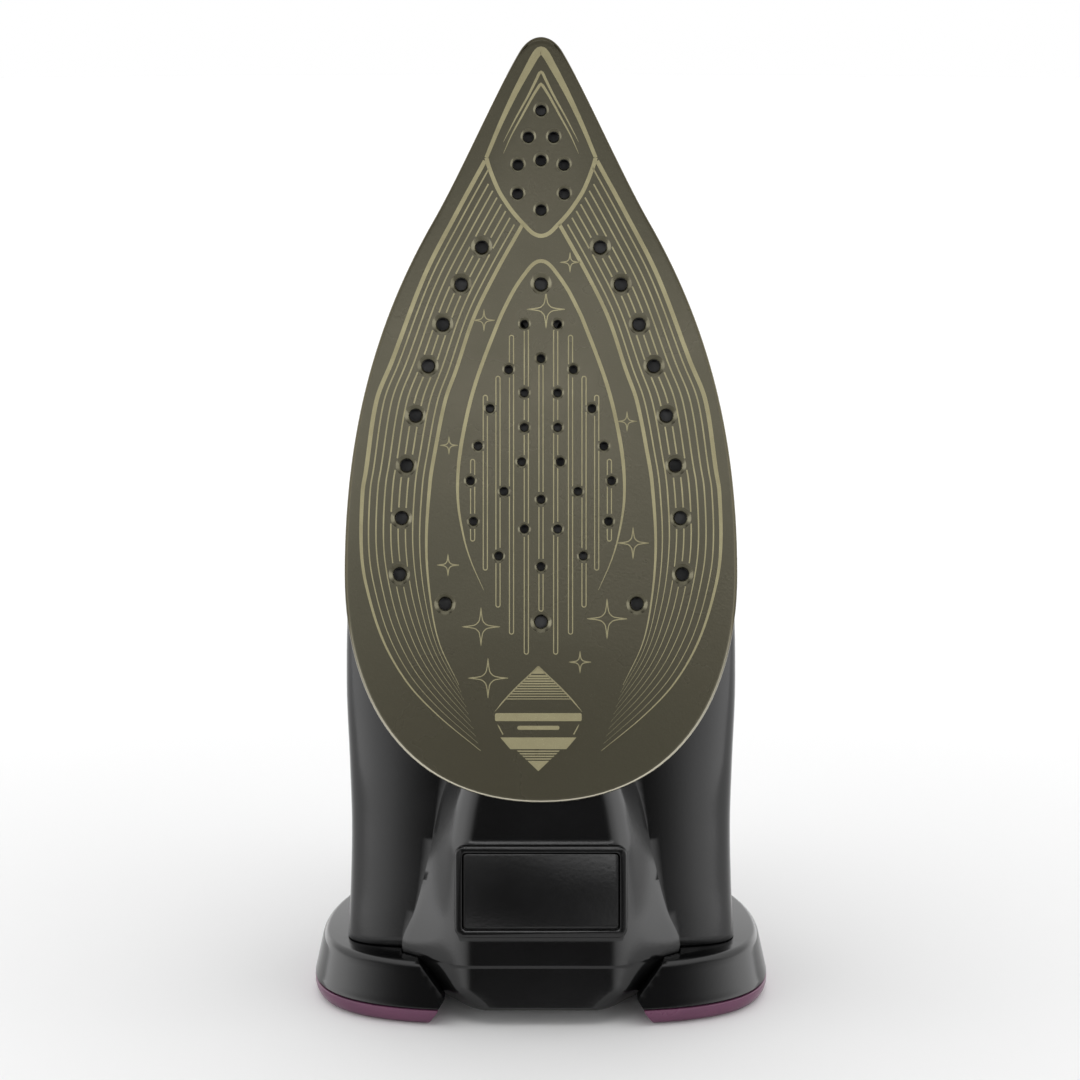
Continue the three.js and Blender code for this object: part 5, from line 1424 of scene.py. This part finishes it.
def handle_frame(t):
    """The handle's centre, a direction square to its line, and its half sizes at a share of its length."""
    step = 1e-4
    a, b = through(HANDLE_CENTRES, max(t - step, 0)), through(HANDLE_CENTRES, min(t + step, 1))
    tangent = (b - a).normalized()
    return through(HANDLE_CENTRES, t), Vector((-tangent.y, tangent.x)), through(HANDLE_SIZES, t)


def handle_solid(name, inset=0.0, steps=90, count=56, start=0.0, end=1.0):
    """The handle, or a stretch of it, drawn in by an inset."""
    rings = []
    for k in range(steps + 1):
        centre, out, size = handle_frame(start + (end - start) * k / steps)
        ring = []
        for i in range(count):
            a = 2 * math.pi * (i + 0.5) / count
            across = (size.y - inset) * signed_power(math.cos(a), 2 / 2.5)
            away = (size.x - inset) * signed_power(math.sin(a), 2 / 2.5)
            ring.append(stand(across, centre.y + out.y * away, centre.x + out.x * away))
        rings.append(ring)
    return loft(name, rings)


def handle_side(name, outside):
    """The room on one side of the handle's centre line, for splitting the handle into its halves."""
    gap = FIT / 2 if outside else -FIT / 2
    line = []
    for k in range(61):
        centre, out, _ = handle_frame(k / 60)
        line.append((centre.x + out.x * gap, centre.y + out.y * gap))
    far = IRON_HEIGHT * 1.6
    if outside:
        closing = [(-far, line[-1][1]), (-far, far), (far * 1.3, far), (far * 1.3, line[0][1])]
    else:
        closing = [(line[-1][0], 0), (line[0][0], 0)]
    return slab(name, line + closing, 60)


def handle_top_at(z):
    """The depth of the handle's surface at a place lengthways, on the side its square direction points to."""
    best = None
    for k in range(241):
        centre, out, size = handle_frame(0.25 + 0.5 * k / 240)
        point = centre + out * size.x
        if best is None or abs(point.x - z) < abs(best.x - z):
            best = point
    return best.y


SLIDER_Z = SOLE_LENGTH * 0.475
SLIDER_SEAT = handle_top_at(SLIDER_Z + 14 + 7.5) - 0.6
LENS_Z = SOLE_LENGTH * 0.605
NOZZLE_Y = IRON_HEIGHT * 0.58
NOZZLE_FRONT = SOLE_LENGTH * 0.7 + IRON_HEIGHT * 0.112 + 2.4


def on_cord(x, y, z):
    """A point of the cord inlet: its depth runs out of the handle's rear, down and back."""
    r = math.sqrt(0.5)
    return stand(x, (y + z) * r + IRON_HEIGHT * 0.79, (z - y) * r + SOLE_LENGTH * 0.005)


def deck_block(name, inset):
    """The flat-topped block that carries the two buttons, drawn in by an inset."""
    outline = [(x, z + DECK_Z) for x, z in rounded_rectangle(33.8 - 2 * inset, 24 - 2 * inset, 6 - inset)]
    return prism(name, outline, DECK_TOP - 17, DECK_TOP - inset, edge=1.2 if not inset else 0.0, both=False)


def make_handle():
    """Both halves of the handle as shells, with their openings, and the grip."""
    boss_outer, boss_room, boss_bore = 14.7, 12.7, 8.95
    low, high = 2.6, 15.6

    def barrel(name, radius, y0, y1):
        return turned(name, ((0, y0), (radius, y0), (radius, y1), (0, y1)), on_cord, sides=56)

    lower = handle_solid("handle_underside")
    combine(lower, handle_side("inner_side", False), "INTERSECT")
    combine(lower, handle_solid("hollow", WALL, 60, 40, -0.0))
    combine(lower, barrel("boss_gap", boss_outer + FIT, low - FIT, high))
    combine(lower, body_hull("hull_room", -FIT, 72, 4))
    bisected(lower, (0, 0, (HEEL_RIM + FIT) / 1000), (0, 0, 1), "inner")
    cleaned(lower)
    finish_piece(lower, "iron", material("gloss_black"), ["handle_lower"])

    upper = handle_solid("handle_cover")
    combine(upper, handle_side("outer_side", True), "INTERSECT")
    combine(upper, deck_block("deck", 0), "UNION")
    hollow = handle_solid("hollow", WALL, 60, 40)
    combine(hollow, deck_block("deck_hollow", WALL), "UNION")
    combine(upper, hollow)
    combine(upper, body_hull("hull_room", -FIT, 72, 4), solver="MANIFOLD")
    profile = ((0, low), (boss_outer, low), (boss_outer, high - 0.8), (boss_outer - 0.8, high), (0, high))
    boss = turned("boss", profile, on_cord, sides=56)
    combine(upper, boss, "UNION")
    combine(upper, barrel("boss_room", boss_room, 5 - FIT, high + 40))
    combine(upper, barrel("boss_bore", boss_bore, low - 6, high))
    combine(upper, box_piece("above", (-31.9, DECK_TOP, DECK_Z - 11), (31.9, DECK_TOP + 40, DECK_Z + 37)))
    for side in (-1, 1):
        pocket = [(x + side * BUTTON_X, z + DECK_Z) for x, z in rounded_rectangle(14.1, 19.7, 4)]
        combine(upper, prism("pocket", pocket, DECK_TOP - 10.5, DECK_TOP + 3))
    middle = SLIDER_Z + 7
    low_corner = (-2.55, SLIDER_SEAT - 20, middle - 9.55)
    combine(upper, box_piece("slot", low_corner, (2.55, SLIDER_SEAT + 10, middle + 9.55)))
    seat = [(x, z + middle) for x, z in rounded_rectangle(15, 31, 2)]
    combine(upper, prism("seat", seat, SLIDER_SEAT, SLIDER_SEAT + 20))
    profile = ((0, 120.8), (2.75, 120.8), (2.75, 166), (0, 166))
    combine(upper, turned("lens_hole", profile, z=LENS_Z, sides=32))
    circle = [(3.75 * math.cos(a), 3.75 * math.sin(a)) for a in (2 * math.pi * k / 40 for k in range(40))]
    reach = (NOZZLE_FRONT - 16, NOZZLE_FRONT + 9)
    nozzle_room = loft("nozzle_room", [[stand(x, NOZZLE_Y + y, z) for x, y in circle] for z in reach])
    combine(upper, nozzle_room)
    bisected(upper, (0, 0, (HEEL_RIM + FIT) / 1000), (0, 0, 1), "inner")
    cleaned(upper)
    finish_piece(upper, "iron", material("gloss_black"), ["handle_upper"])
    make_grip(boss_outer, low, high)


def make_grip(boss_outer, low, high):
    """The soft grip over the handle's top, with shallow grooves across its rear half."""
    grip = handle_solid("grip_skin", -1.7, 110, 56, 0.38, 0.92)
    rear, front = SOLE_LENGTH * 0.05, SOLE_LENGTH * 0.42
    combine(grip, box_piece("stretch", (-45, 90, rear), (45, 200, front)), "INTERSECT")
    combine(grip, handle_side("grip_side", True), "INTERSECT")
    gap = boss_outer + FIT
    profile = ((0, low), (gap, low), (gap, high + 20), (0, high + 20))
    combine(grip, turned("boss_gap", profile, on_cord, sides=56))
    for k in range(9):
        z = rear + 22 + 5.2 * k
        top = handle_top_at(z) + 1.7
        groove = loft("groove", [
            [stand(x, top - 0.55 - (x / 30) ** 2 * 1.2 + 1.2 * math.cos(a), z + 0.55 * math.sin(a)) for a in
             (2 * math.pi * j / 12 for j in range(12))] for x in (-12, -8, -4, 0, 4, 8, 12)])
        combine(grip, groove)
    combine(grip, handle_solid("core", -FIT, 110, 48))
    cleaned(grip)
    finish_piece(grip, "iron", material("soft_touch"), ["soft_grip"])


# ---------------------------------------------------------------- dial, buttons, slider, lens and nozzle
def make_controls():
    """The dial, the two buttons, the steam slider, the lens and the nozzle."""
    top = body_top_at(DIAL_Z) + DIAL_HEIGHT * 0.55
    base = top - DIAL_HEIGHT
    profile = ((0, base + 5), (SHAFT_ROOM, base + 5), (SHAFT_ROOM, base), (20.6, base),
               (21.6, base + 0.5), (21.9, base + 1.4), (21.9, top - 2.4), (21.4, top - 1.2),
               (20.2, top - 0.35), (18.6, top), (17.2, top - 0.1),
               (15.4, top - 0.75), (0, top - 1.05))
    dial = turned("dial_cap", profile, z=DIAL_Z, sides=120)
    for k in range(36):
        a = 2 * math.pi * k / 36
        x, z = 22.25 * math.sin(a), DIAL_Z + 22.25 * math.cos(a)
        flute = ((0, base + 1.6), (0.75, base + 1.6), (0.75, top + 1), (0, top + 1))
        combine(dial, turned("flute", flute, x=x, z=z, sides=12))
    pointer = [(-1.4, DIAL_Z + 4), (1.4, DIAL_Z + 4), (0.7, DIAL_Z + 17.5), (-0.7, DIAL_Z + 17.5)]
    ridge = prism("pointer", pointer, top - 1.6, top + 1.0, edge=0.4, both=False)
    dial = merged("dial_cap", [dial, ridge])
    finish_piece(dial, "temperature_dial", material("plum_plastic"), ["temperature_dial"])

    for side, name in ((-1, "spray_button"), (1, "steam_button")):
        outline = [(x + side * BUTTON_X, z + DECK_Z) for x, z in rounded_rectangle(13.4, 19, 3.6)]
        cap = prism(f"{name}_cap", outline, DECK_TOP - 6, DECK_TOP + 4.2, edge=1.5, steps=5, both=False)
        hollow = ((0, 3.4), (3.1, 3.75), (4.6, 4.3), (4.6, 8), (0, 8))
        profile = [(radius, DECK_TOP + height) for radius, height in hollow]
        combine(cap, turned("dish", profile, x=side * BUTTON_X, z=DECK_Z + 1, sides=40))
        finish_piece(cap, name, material("plum_plastic"), [name])

    low = SLIDER_SEAT + FIT
    outline = [(x, z + SLIDER_Z) for x, z in rounded_rectangle(13, 15, 3)]
    cap = prism("slider_knob", outline, low, low + 5, edge=1.2, steps=5)
    for k in range(5):
        z = SLIDER_Z - 4 + 2 * k
        combine(cap, cross_bar("groove", low + 5.25, z, (0.7, 0.6), 4.4, 16))
    stem_low = SLIDER_SEAT - 17
    stem = box_piece("stem", (-2.2, stem_low, SLIDER_Z - 2.2), (2.2, low + 1, SLIDER_Z + 2.2))
    knob = merged("slider_knob", [cap, stem])
    finish_piece(knob, "steam_slider", material("plum_plastic"), ["steam_slider"])

    top = handle_top_at(LENS_Z)
    profile = ((0, top - 4.6), (2.4, top - 4.6), (2.4, top - 0.1), (2.0, top + 0.35), (1.1, top + 0.6),
               (0, top + 0.68))
    lens = turned("power_lens", profile, z=LENS_Z, sides=40)
    finish_piece(lens, "iron", material("red_lens"), ["indicator_lens"])
    make_nozzle()


def make_nozzle():
    """The spray nozzle in the handle's front, turned along the iron's length."""
    def place(x, y, z):
        return stand(x, NOZZLE_Y + z, y)

    tail, front = NOZZLE_FRONT - 9, NOZZLE_FRONT
    profile = ((0.5, tail - 4), (1.8, tail - 4), (1.8, tail), (3.2, tail), (3.4, tail + 0.2),
               (3.4, front - 0.7), (2.9, front), (1.9, front), (1.5, front - 0.6), (0.5, front - 0.8))
    nozzle = turned("spray_tip", profile, place, sides=48, closed=True)
    finish_piece(nozzle, "iron", material("turned_brass"), ["spray_nozzle"])


# ---------------------------------------------------------------- cord inlet
def make_inlet():
    """The cord inlet: a collar that turns, and the ball in it."""
    inner, outer = BALL_RADIUS + FIT, BALL_RADIUS + FIT + 2.4
    arc = []
    for k in range(17):
        h = -5 + 10 * k / 16
        arc.append((math.sqrt(inner**2 - h**2), h + CORD_OUT))
    rim = ((outer - 0.5, CORD_OUT + 5), (outer, CORD_OUT + 4.5), (outer, CORD_OUT - 4.6),
           (outer - 0.4, CORD_OUT - 5))
    ring = turned("collar_ring", (*arc, *rim), on_cord, sides=72, closed=True)
    finish_piece(ring, "cord_collar", material("satin_black"), ["cord_collar"])
    arc = []
    for k in range(25):
        h = -7.4 + 14.2 * k / 24
        arc.append((math.sqrt(BALL_RADIUS**2 - h**2), h + CORD_OUT))
    neck = ((6.3, CORD_OUT + 7.4), (5.9, CORD_OUT + 8.2), (5.7, CORD_OUT + 12.4), (5.2, CORD_OUT + 13),
            (4.5, CORD_OUT + 13), (4.1, CORD_OUT + 12.5), (4.1, CORD_OUT - 7.4))
    ball = turned("swivel_ball", (*arc, *neck), on_cord, sides=72, closed=True)
    finish_piece(ball, "cord_ball", material("gloss_black"), ["cord_ball"])


# ---------------------------------------------------------------- carried-over pieces of the frame
INNER_FINISHES = {
    "cast_metal": ("heater_casting", "steam_chamber_cover"),
    "bright_steel": ("heating_element", "casting_screw_1", "casting_screw_2", "casting_screw_3",
                     "heel_screw_1", "heel_screw_2", "filler_pin", "spray_spring", "steam_spring", "valve_rod"),
    "turned_brass": ("valve_seat",),
    "grey_silicone": ("chamber_seal", "valve_seal", "filler_seal", "spray_hose", "pickup_hose", "lead_left",
                      "lead_right"),
    "white_moulding": ("thermostat", "thermal_fuse", "dial_shaft", "spray_piston", "steam_piston",
                       "spray_cylinder", "steam_cylinder", "valve_link", "tilt_switch", "terminal_block"),
    "satin_black": ("heel_cover",),
    "green_board": ("control_board",),
}


def dress_frame():
    """Gives the pieces that are carried over from the frame their finishes."""
    for finish_name, nodes in INNER_FINISHES.items():
        for node in nodes:
            piece = frame["nodes"][node]
            piece.data.materials.clear()
            piece.data.materials.append(material(finish_name))


# ---------------------------------------------------------------- stage
def soft_box(name, place, aim, width, height, brightness):
    """A rectangular soft light of a surface brightness, aimed at a point."""
    light = bpy.data.lights.new(name, "AREA")
    light.shape = "RECTANGLE"
    light.size, light.size_y = width, height
    light.energy = brightness * width * height * math.pi
    holder = bpy.data.objects.new(name, light)
    holder.location = place
    holder.rotation_euler = (Vector(aim) - Vector(place)).to_track_quat("-Z", "Y").to_euler()
    bpy.context.collection.objects.link(holder)
    return holder


def make_world(front, back, glow):
    """The room's soft light, dim behind the viewer; the eye itself sees plain white."""
    world = bpy.data.worlds.new("studio_room")
    bpy.context.scene.world = world
    world.use_nodes = True
    tree = world.node_tree
    room = tree.nodes["Background"]
    place = tree.nodes.new("ShaderNodeTexCoord")
    split = tree.nodes.new("ShaderNodeSeparateXYZ")
    aside = tree.nodes.new("ShaderNodeMath")
    aside.operation = "ABSOLUTE"
    link(tree, place.outputs["Generated"], split.inputs[0])
    link(tree, split.outputs["X"], aside.inputs[0])

    def ramp(source, low, high):
        made = tree.nodes.new("ShaderNodeMapRange")
        made.interpolation_type = "SMOOTHSTEP"
        made.inputs["From Min"].default_value = low
        made.inputs["From Max"].default_value = high
        link(tree, source, made.inputs["Value"])
        return made.outputs["Result"]

    def sum_of(way, first, second):
        made = tree.nodes.new("ShaderNodeMath")
        made.operation = way
        for k, source in enumerate((first, second)):
            if isinstance(source, float):
                made.inputs[k].default_value = source
            else:
                link(tree, source, made.inputs[k])
        return made.outputs[0]

    high, far = split.outputs["Z"], split.outputs["Y"]
    lit = sum_of("MAXIMUM", ramp(aside.outputs[0], 0.35, 0.95), ramp(high, 0.75, 0.97))
    lit = sum_of("MAXIMUM", lit, ramp(far, -0.3, 0.05))
    low_side = sum_of("MULTIPLY", ramp(aside.outputs[0], 0.14, 0.5), ramp(high, 0.62, 0.3))
    total = sum_of("ADD", sum_of("MULTIPLY", lit, back - front), sum_of("MULTIPLY", low_side, glow))
    link(tree, sum_of("ADD", total, front), room.inputs["Strength"])
    white = tree.nodes.new("ShaderNodeBackground")
    white.inputs["Strength"].default_value = 1.0
    seen = tree.nodes.new("ShaderNodeLightPath")
    pick = tree.nodes.new("ShaderNodeMixShader")
    end = tree.nodes["World Output"]
    link(tree, seen.outputs["Is Camera Ray"], pick.inputs[0])
    link(tree, room.outputs[0], pick.inputs[1])
    link(tree, white.outputs[0], pick.inputs[2])
    link(tree, pick.outputs[0], end.inputs["Surface"])
    room.inputs["Color"].default_value = (1, 1, 1, 1)
    white.inputs["Color"].default_value = (1, 1, 1, 1)


def make_paper(tone, middle):
    """Pale paper, greyer round the middle of the floor than far out: a painted shadow round the iron's foot."""
    made = finish("studio_paper", (tone,) * 3, (tone,) * 3, (0.7, 0.8), haze=3.0, specular=0.2)
    tree = made.node_tree
    place = tree.nodes.new("ShaderNodeTexCoord")
    length = tree.nodes.new("ShaderNodeVectorMath")
    length.operation = "LENGTH"
    link(tree, place.outputs["Object"], length.inputs[0])
    spread = tree.nodes.new("ShaderNodeMapRange")
    spread.interpolation_type = "SMOOTHSTEP"
    spread.inputs["From Min"].default_value = 0.05
    spread.inputs["From Max"].default_value = 0.75
    link(tree, length.outputs["Value"], spread.inputs["Value"])
    # painted shadow: the darker middle tone stands in for the shade round the iron's foot
    colour = mixed_colour(tree, spread.outputs["Result"], (middle,) * 3, (tone,) * 3)
    link(tree, colour, tree.nodes["Principled BSDF"].inputs["Base Color"])
    return made


def make_stage(settings):
    """The floor, the soft lights and the camera."""
    bpy.ops.object.select_all(action="DESELECT")
    camera = bpy.data.cameras.new("view")
    camera.lens = 85.0
    camera.sensor_width = 36.0
    camera.clip_start = 0.01
    holder = bpy.data.objects.new("view", camera)
    holder.location = (-0.0003, -0.8181, 0.3066)
    holder.rotation_euler = (math.radians(78), 0, 0)
    bpy.context.collection.objects.link(holder)
    bpy.context.scene.camera = holder
    bpy.context.scene.view_settings.view_transform = "Standard"
    bpy.context.scene.view_settings.look = "None"

    bpy.ops.mesh.primitive_circle_add(vertices=96, radius=5.0, fill_type="NGON", location=(0, 4.62, 0))
    floor = named("studio_floor")
    bpy.ops.object.mode_set(mode="EDIT")
    bpy.ops.mesh.select_all(action="SELECT")
    bpy.ops.mesh.inset(thickness=1.5)
    bpy.ops.object.mode_set(mode="OBJECT")
    settle(floor)
    floor.data.materials.append(make_paper(settings.floor_tone, settings.floor_painted_shadow))
    make_world(settings.front_dim, settings.room_bright, settings.side_glow)
    soft_box("front_strip", (0, -2.1, 0.8), (0, 0, 0.2), 1.8, 0.26, settings.strip_bright)


# ---------------------------------------------------------------- settings and buttons
def length(name, note, default):
    """A length setting, in metres."""
    return bpy.props.FloatProperty(name=name, description=note, default=default, unit="LENGTH", min=0.0)


class SteamIronSole(bpy.types.PropertyGroup):
    """Sizes of the steam holes and of the printed lines."""

    nose_bore: length("Nose Bore", "Diameter of the steam holes in the tip", 0.0029)
    nose_sink: length("Nose Countersink", "Outer diameter of the countersinks in the tip", 0.0047)
    rim_bore: length("Rim Bore", "Diameter of the steam holes along the rim", 0.0035)
    rim_sink: length("Rim Countersink", "Outer diameter of the countersinks along the rim", 0.0064)
    field_bore: length("Field Bore", "Diameter of the small steam holes in the middle", 0.0021)
    field_sink: length("Field Countersink", "Outer diameter of the small countersinks", 0.0039)
    border_line: length("Border Line", "Width of the printed borders", 0.0011)
    fine_line: length("Fine Line", "Width of the printed lines between the borders", 0.00045)
    fine_lines: bpy.props.IntProperty(
        name="Fine Lines", description="Lines between the borders", default=8, min=0,
    )
    badge_offset: bpy.props.FloatProperty(
        name="Badge Offset", description="How far the diamond sits off the centre line", default=-0.0008,
        unit="LENGTH",
    )


class SteamIronStage(bpy.types.PropertyGroup):
    """Tones and brightness of the floor, the room and the soft boxes."""

    floor_tone: bpy.props.FloatProperty(name="Floor Tone", description="Share of light the floor returns",
                                        default=0.95, min=0, max=1, subtype="FACTOR")
    # painted shadow: the floor's tone round the iron's foot, darker than far out
    floor_painted_shadow: bpy.props.FloatProperty(name="Floor Middle", description="The same round the iron's foot",
                                          default=0.8, min=0, max=1, subtype="FACTOR")
    front_dim: bpy.props.FloatProperty(name="Front", description="Brightness of the room behind the viewer",
                                       default=0.03, min=0)
    room_bright: bpy.props.FloatProperty(name="Room", description="Brightness of the rest of the room",
                                         default=1.3, min=0)
    side_glow: bpy.props.FloatProperty(name="Side Glow", description="Added brightness low down at the sides",
                                       default=1.2, min=0)
    strip_bright: bpy.props.FloatProperty(
        name="Front Strip", description="Surface brightness of the front strip", default=3.4, min=0,
    )


class STEAMIRON_OT_stage(bpy.types.Operator):
    """Adds the floor, the soft lights and the camera"""

    bl_idname = "steam_iron.stage"
    bl_label = "Stage"
    bl_options = {"REGISTER", "UNDO"}

    def execute(self, context):
        make_stage(context.scene.steam_iron_stage)
        return {"FINISHED"}


class STEAMIRON_OT_sole(bpy.types.Operator):
    """Adds the sole plate with its countersunk steam holes"""

    bl_idname = "steam_iron.sole"
    bl_label = "Sole Plate"
    bl_options = {"REGISTER", "UNDO"}

    def execute(self, context):
        make_sole(context.scene.steam_iron_sole)
        return {"FINISHED"}


class STEAMIRON_OT_decoration(bpy.types.Operator):
    """Adds the thin printed lines on the sole"""

    bl_idname = "steam_iron.decoration"
    bl_label = "Sole Decoration"
    bl_options = {"REGISTER", "UNDO"}

    def execute(self, context):
        make_print(context.scene.steam_iron_sole)
        return {"FINISHED"}


class STEAMIRON_OT_skirt(bpy.types.Operator):
    """Adds the skirt round the heater"""

    bl_idname = "steam_iron.skirt"
    bl_label = "Skirt"
    bl_options = {"REGISTER", "UNDO"}

    def execute(self, context):
        make_skirt()
        return {"FINISHED"}


class STEAMIRON_OT_rear_body(bpy.types.Operator):
    """Adds the rear body, its housing, the rating panel and the dots round the dial"""

    bl_idname = "steam_iron.rear_body"
    bl_label = "Rear Body"
    bl_options = {"REGISTER", "UNDO"}

    def execute(self, context):
        make_rear_body()
        return {"FINISHED"}


class STEAMIRON_OT_heel(bpy.types.Operator):
    """Adds the heel and its two pads"""

    bl_idname = "steam_iron.heel"
    bl_label = "Heel"
    bl_options = {"REGISTER", "UNDO"}

    def execute(self, context):
        make_heel()
        return {"FINISHED"}


class STEAMIRON_OT_tank(bpy.types.Operator):
    """Adds the tank and the filler flap"""

    bl_idname = "steam_iron.tank"
    bl_label = "Water Tank"
    bl_options = {"REGISTER", "UNDO"}

    def execute(self, context):
        make_tank()
        return {"FINISHED"}


class STEAMIRON_OT_handle(bpy.types.Operator):
    """Adds both halves of the handle and the soft grip"""

    bl_idname = "steam_iron.handle"
    bl_label = "Handle"
    bl_options = {"REGISTER", "UNDO"}

    def execute(self, context):
        make_handle()
        return {"FINISHED"}


class STEAMIRON_OT_controls(bpy.types.Operator):
    """Adds the dial, buttons, slider, lens and nozzle"""

    bl_idname = "steam_iron.controls"
    bl_label = "Controls"
    bl_options = {"REGISTER", "UNDO"}

    def execute(self, context):
        make_controls()
        return {"FINISHED"}


class STEAMIRON_OT_inlet(bpy.types.Operator):
    """Adds the collar and the swivel ball"""

    bl_idname = "steam_iron.inlet"
    bl_label = "Cord Inlet"
    bl_options = {"REGISTER", "UNDO"}

    def execute(self, context):
        make_inlet()
        return {"FINISHED"}


class STEAMIRON_OT_frame_finishes(bpy.types.Operator):
    """Gives the frame's own pieces their finishes"""

    bl_idname = "steam_iron.frame_finishes"
    bl_label = "Frame Finishes"
    bl_options = {"REGISTER", "UNDO"}

    def execute(self, context):
        dress_frame()
        return {"FINISHED"}


OPERATORS = (
    STEAMIRON_OT_stage,
    STEAMIRON_OT_sole,
    STEAMIRON_OT_decoration,
    STEAMIRON_OT_skirt,
    STEAMIRON_OT_rear_body,
    STEAMIRON_OT_heel,
    STEAMIRON_OT_tank,
    STEAMIRON_OT_handle,
    STEAMIRON_OT_controls,
    STEAMIRON_OT_inlet,
    STEAMIRON_OT_frame_finishes,
)


class STEAMIRON_PT_panel(bpy.types.Panel):
    """Lists the steps that build the iron"""

    bl_label = "Steam Iron"
    bl_space_type = "VIEW_3D"
    bl_region_type = "UI"
    bl_category = "Steam Iron"

    def draw(self, context):
        layout = self.layout
        for settings in (context.scene.steam_iron_sole, context.scene.steam_iron_stage):
            for name in settings.__annotations__:
                layout.prop(settings, name)
        for item in OPERATORS:
            layout.operator(item.bl_idname)


CLASSES = (SteamIronSole, SteamIronStage, *OPERATORS, STEAMIRON_PT_panel)


def register():
    for item in CLASSES:
        bpy.utils.register_class(item)
    bpy.types.Scene.steam_iron_sole = bpy.props.PointerProperty(type=SteamIronSole)
    bpy.types.Scene.steam_iron_stage = bpy.props.PointerProperty(type=SteamIronStage)


def unregister():
    del bpy.types.Scene.steam_iron_stage
    del bpy.types.Scene.steam_iron_sole
    for item in reversed(CLASSES):
        bpy.utils.unregister_class(item)


def main():
    register()
    for item in OPERATORS:
        getattr(bpy.ops.steam_iron, item.bl_idname.split(".")[1])()


if __name__ == "__main__":
    main()
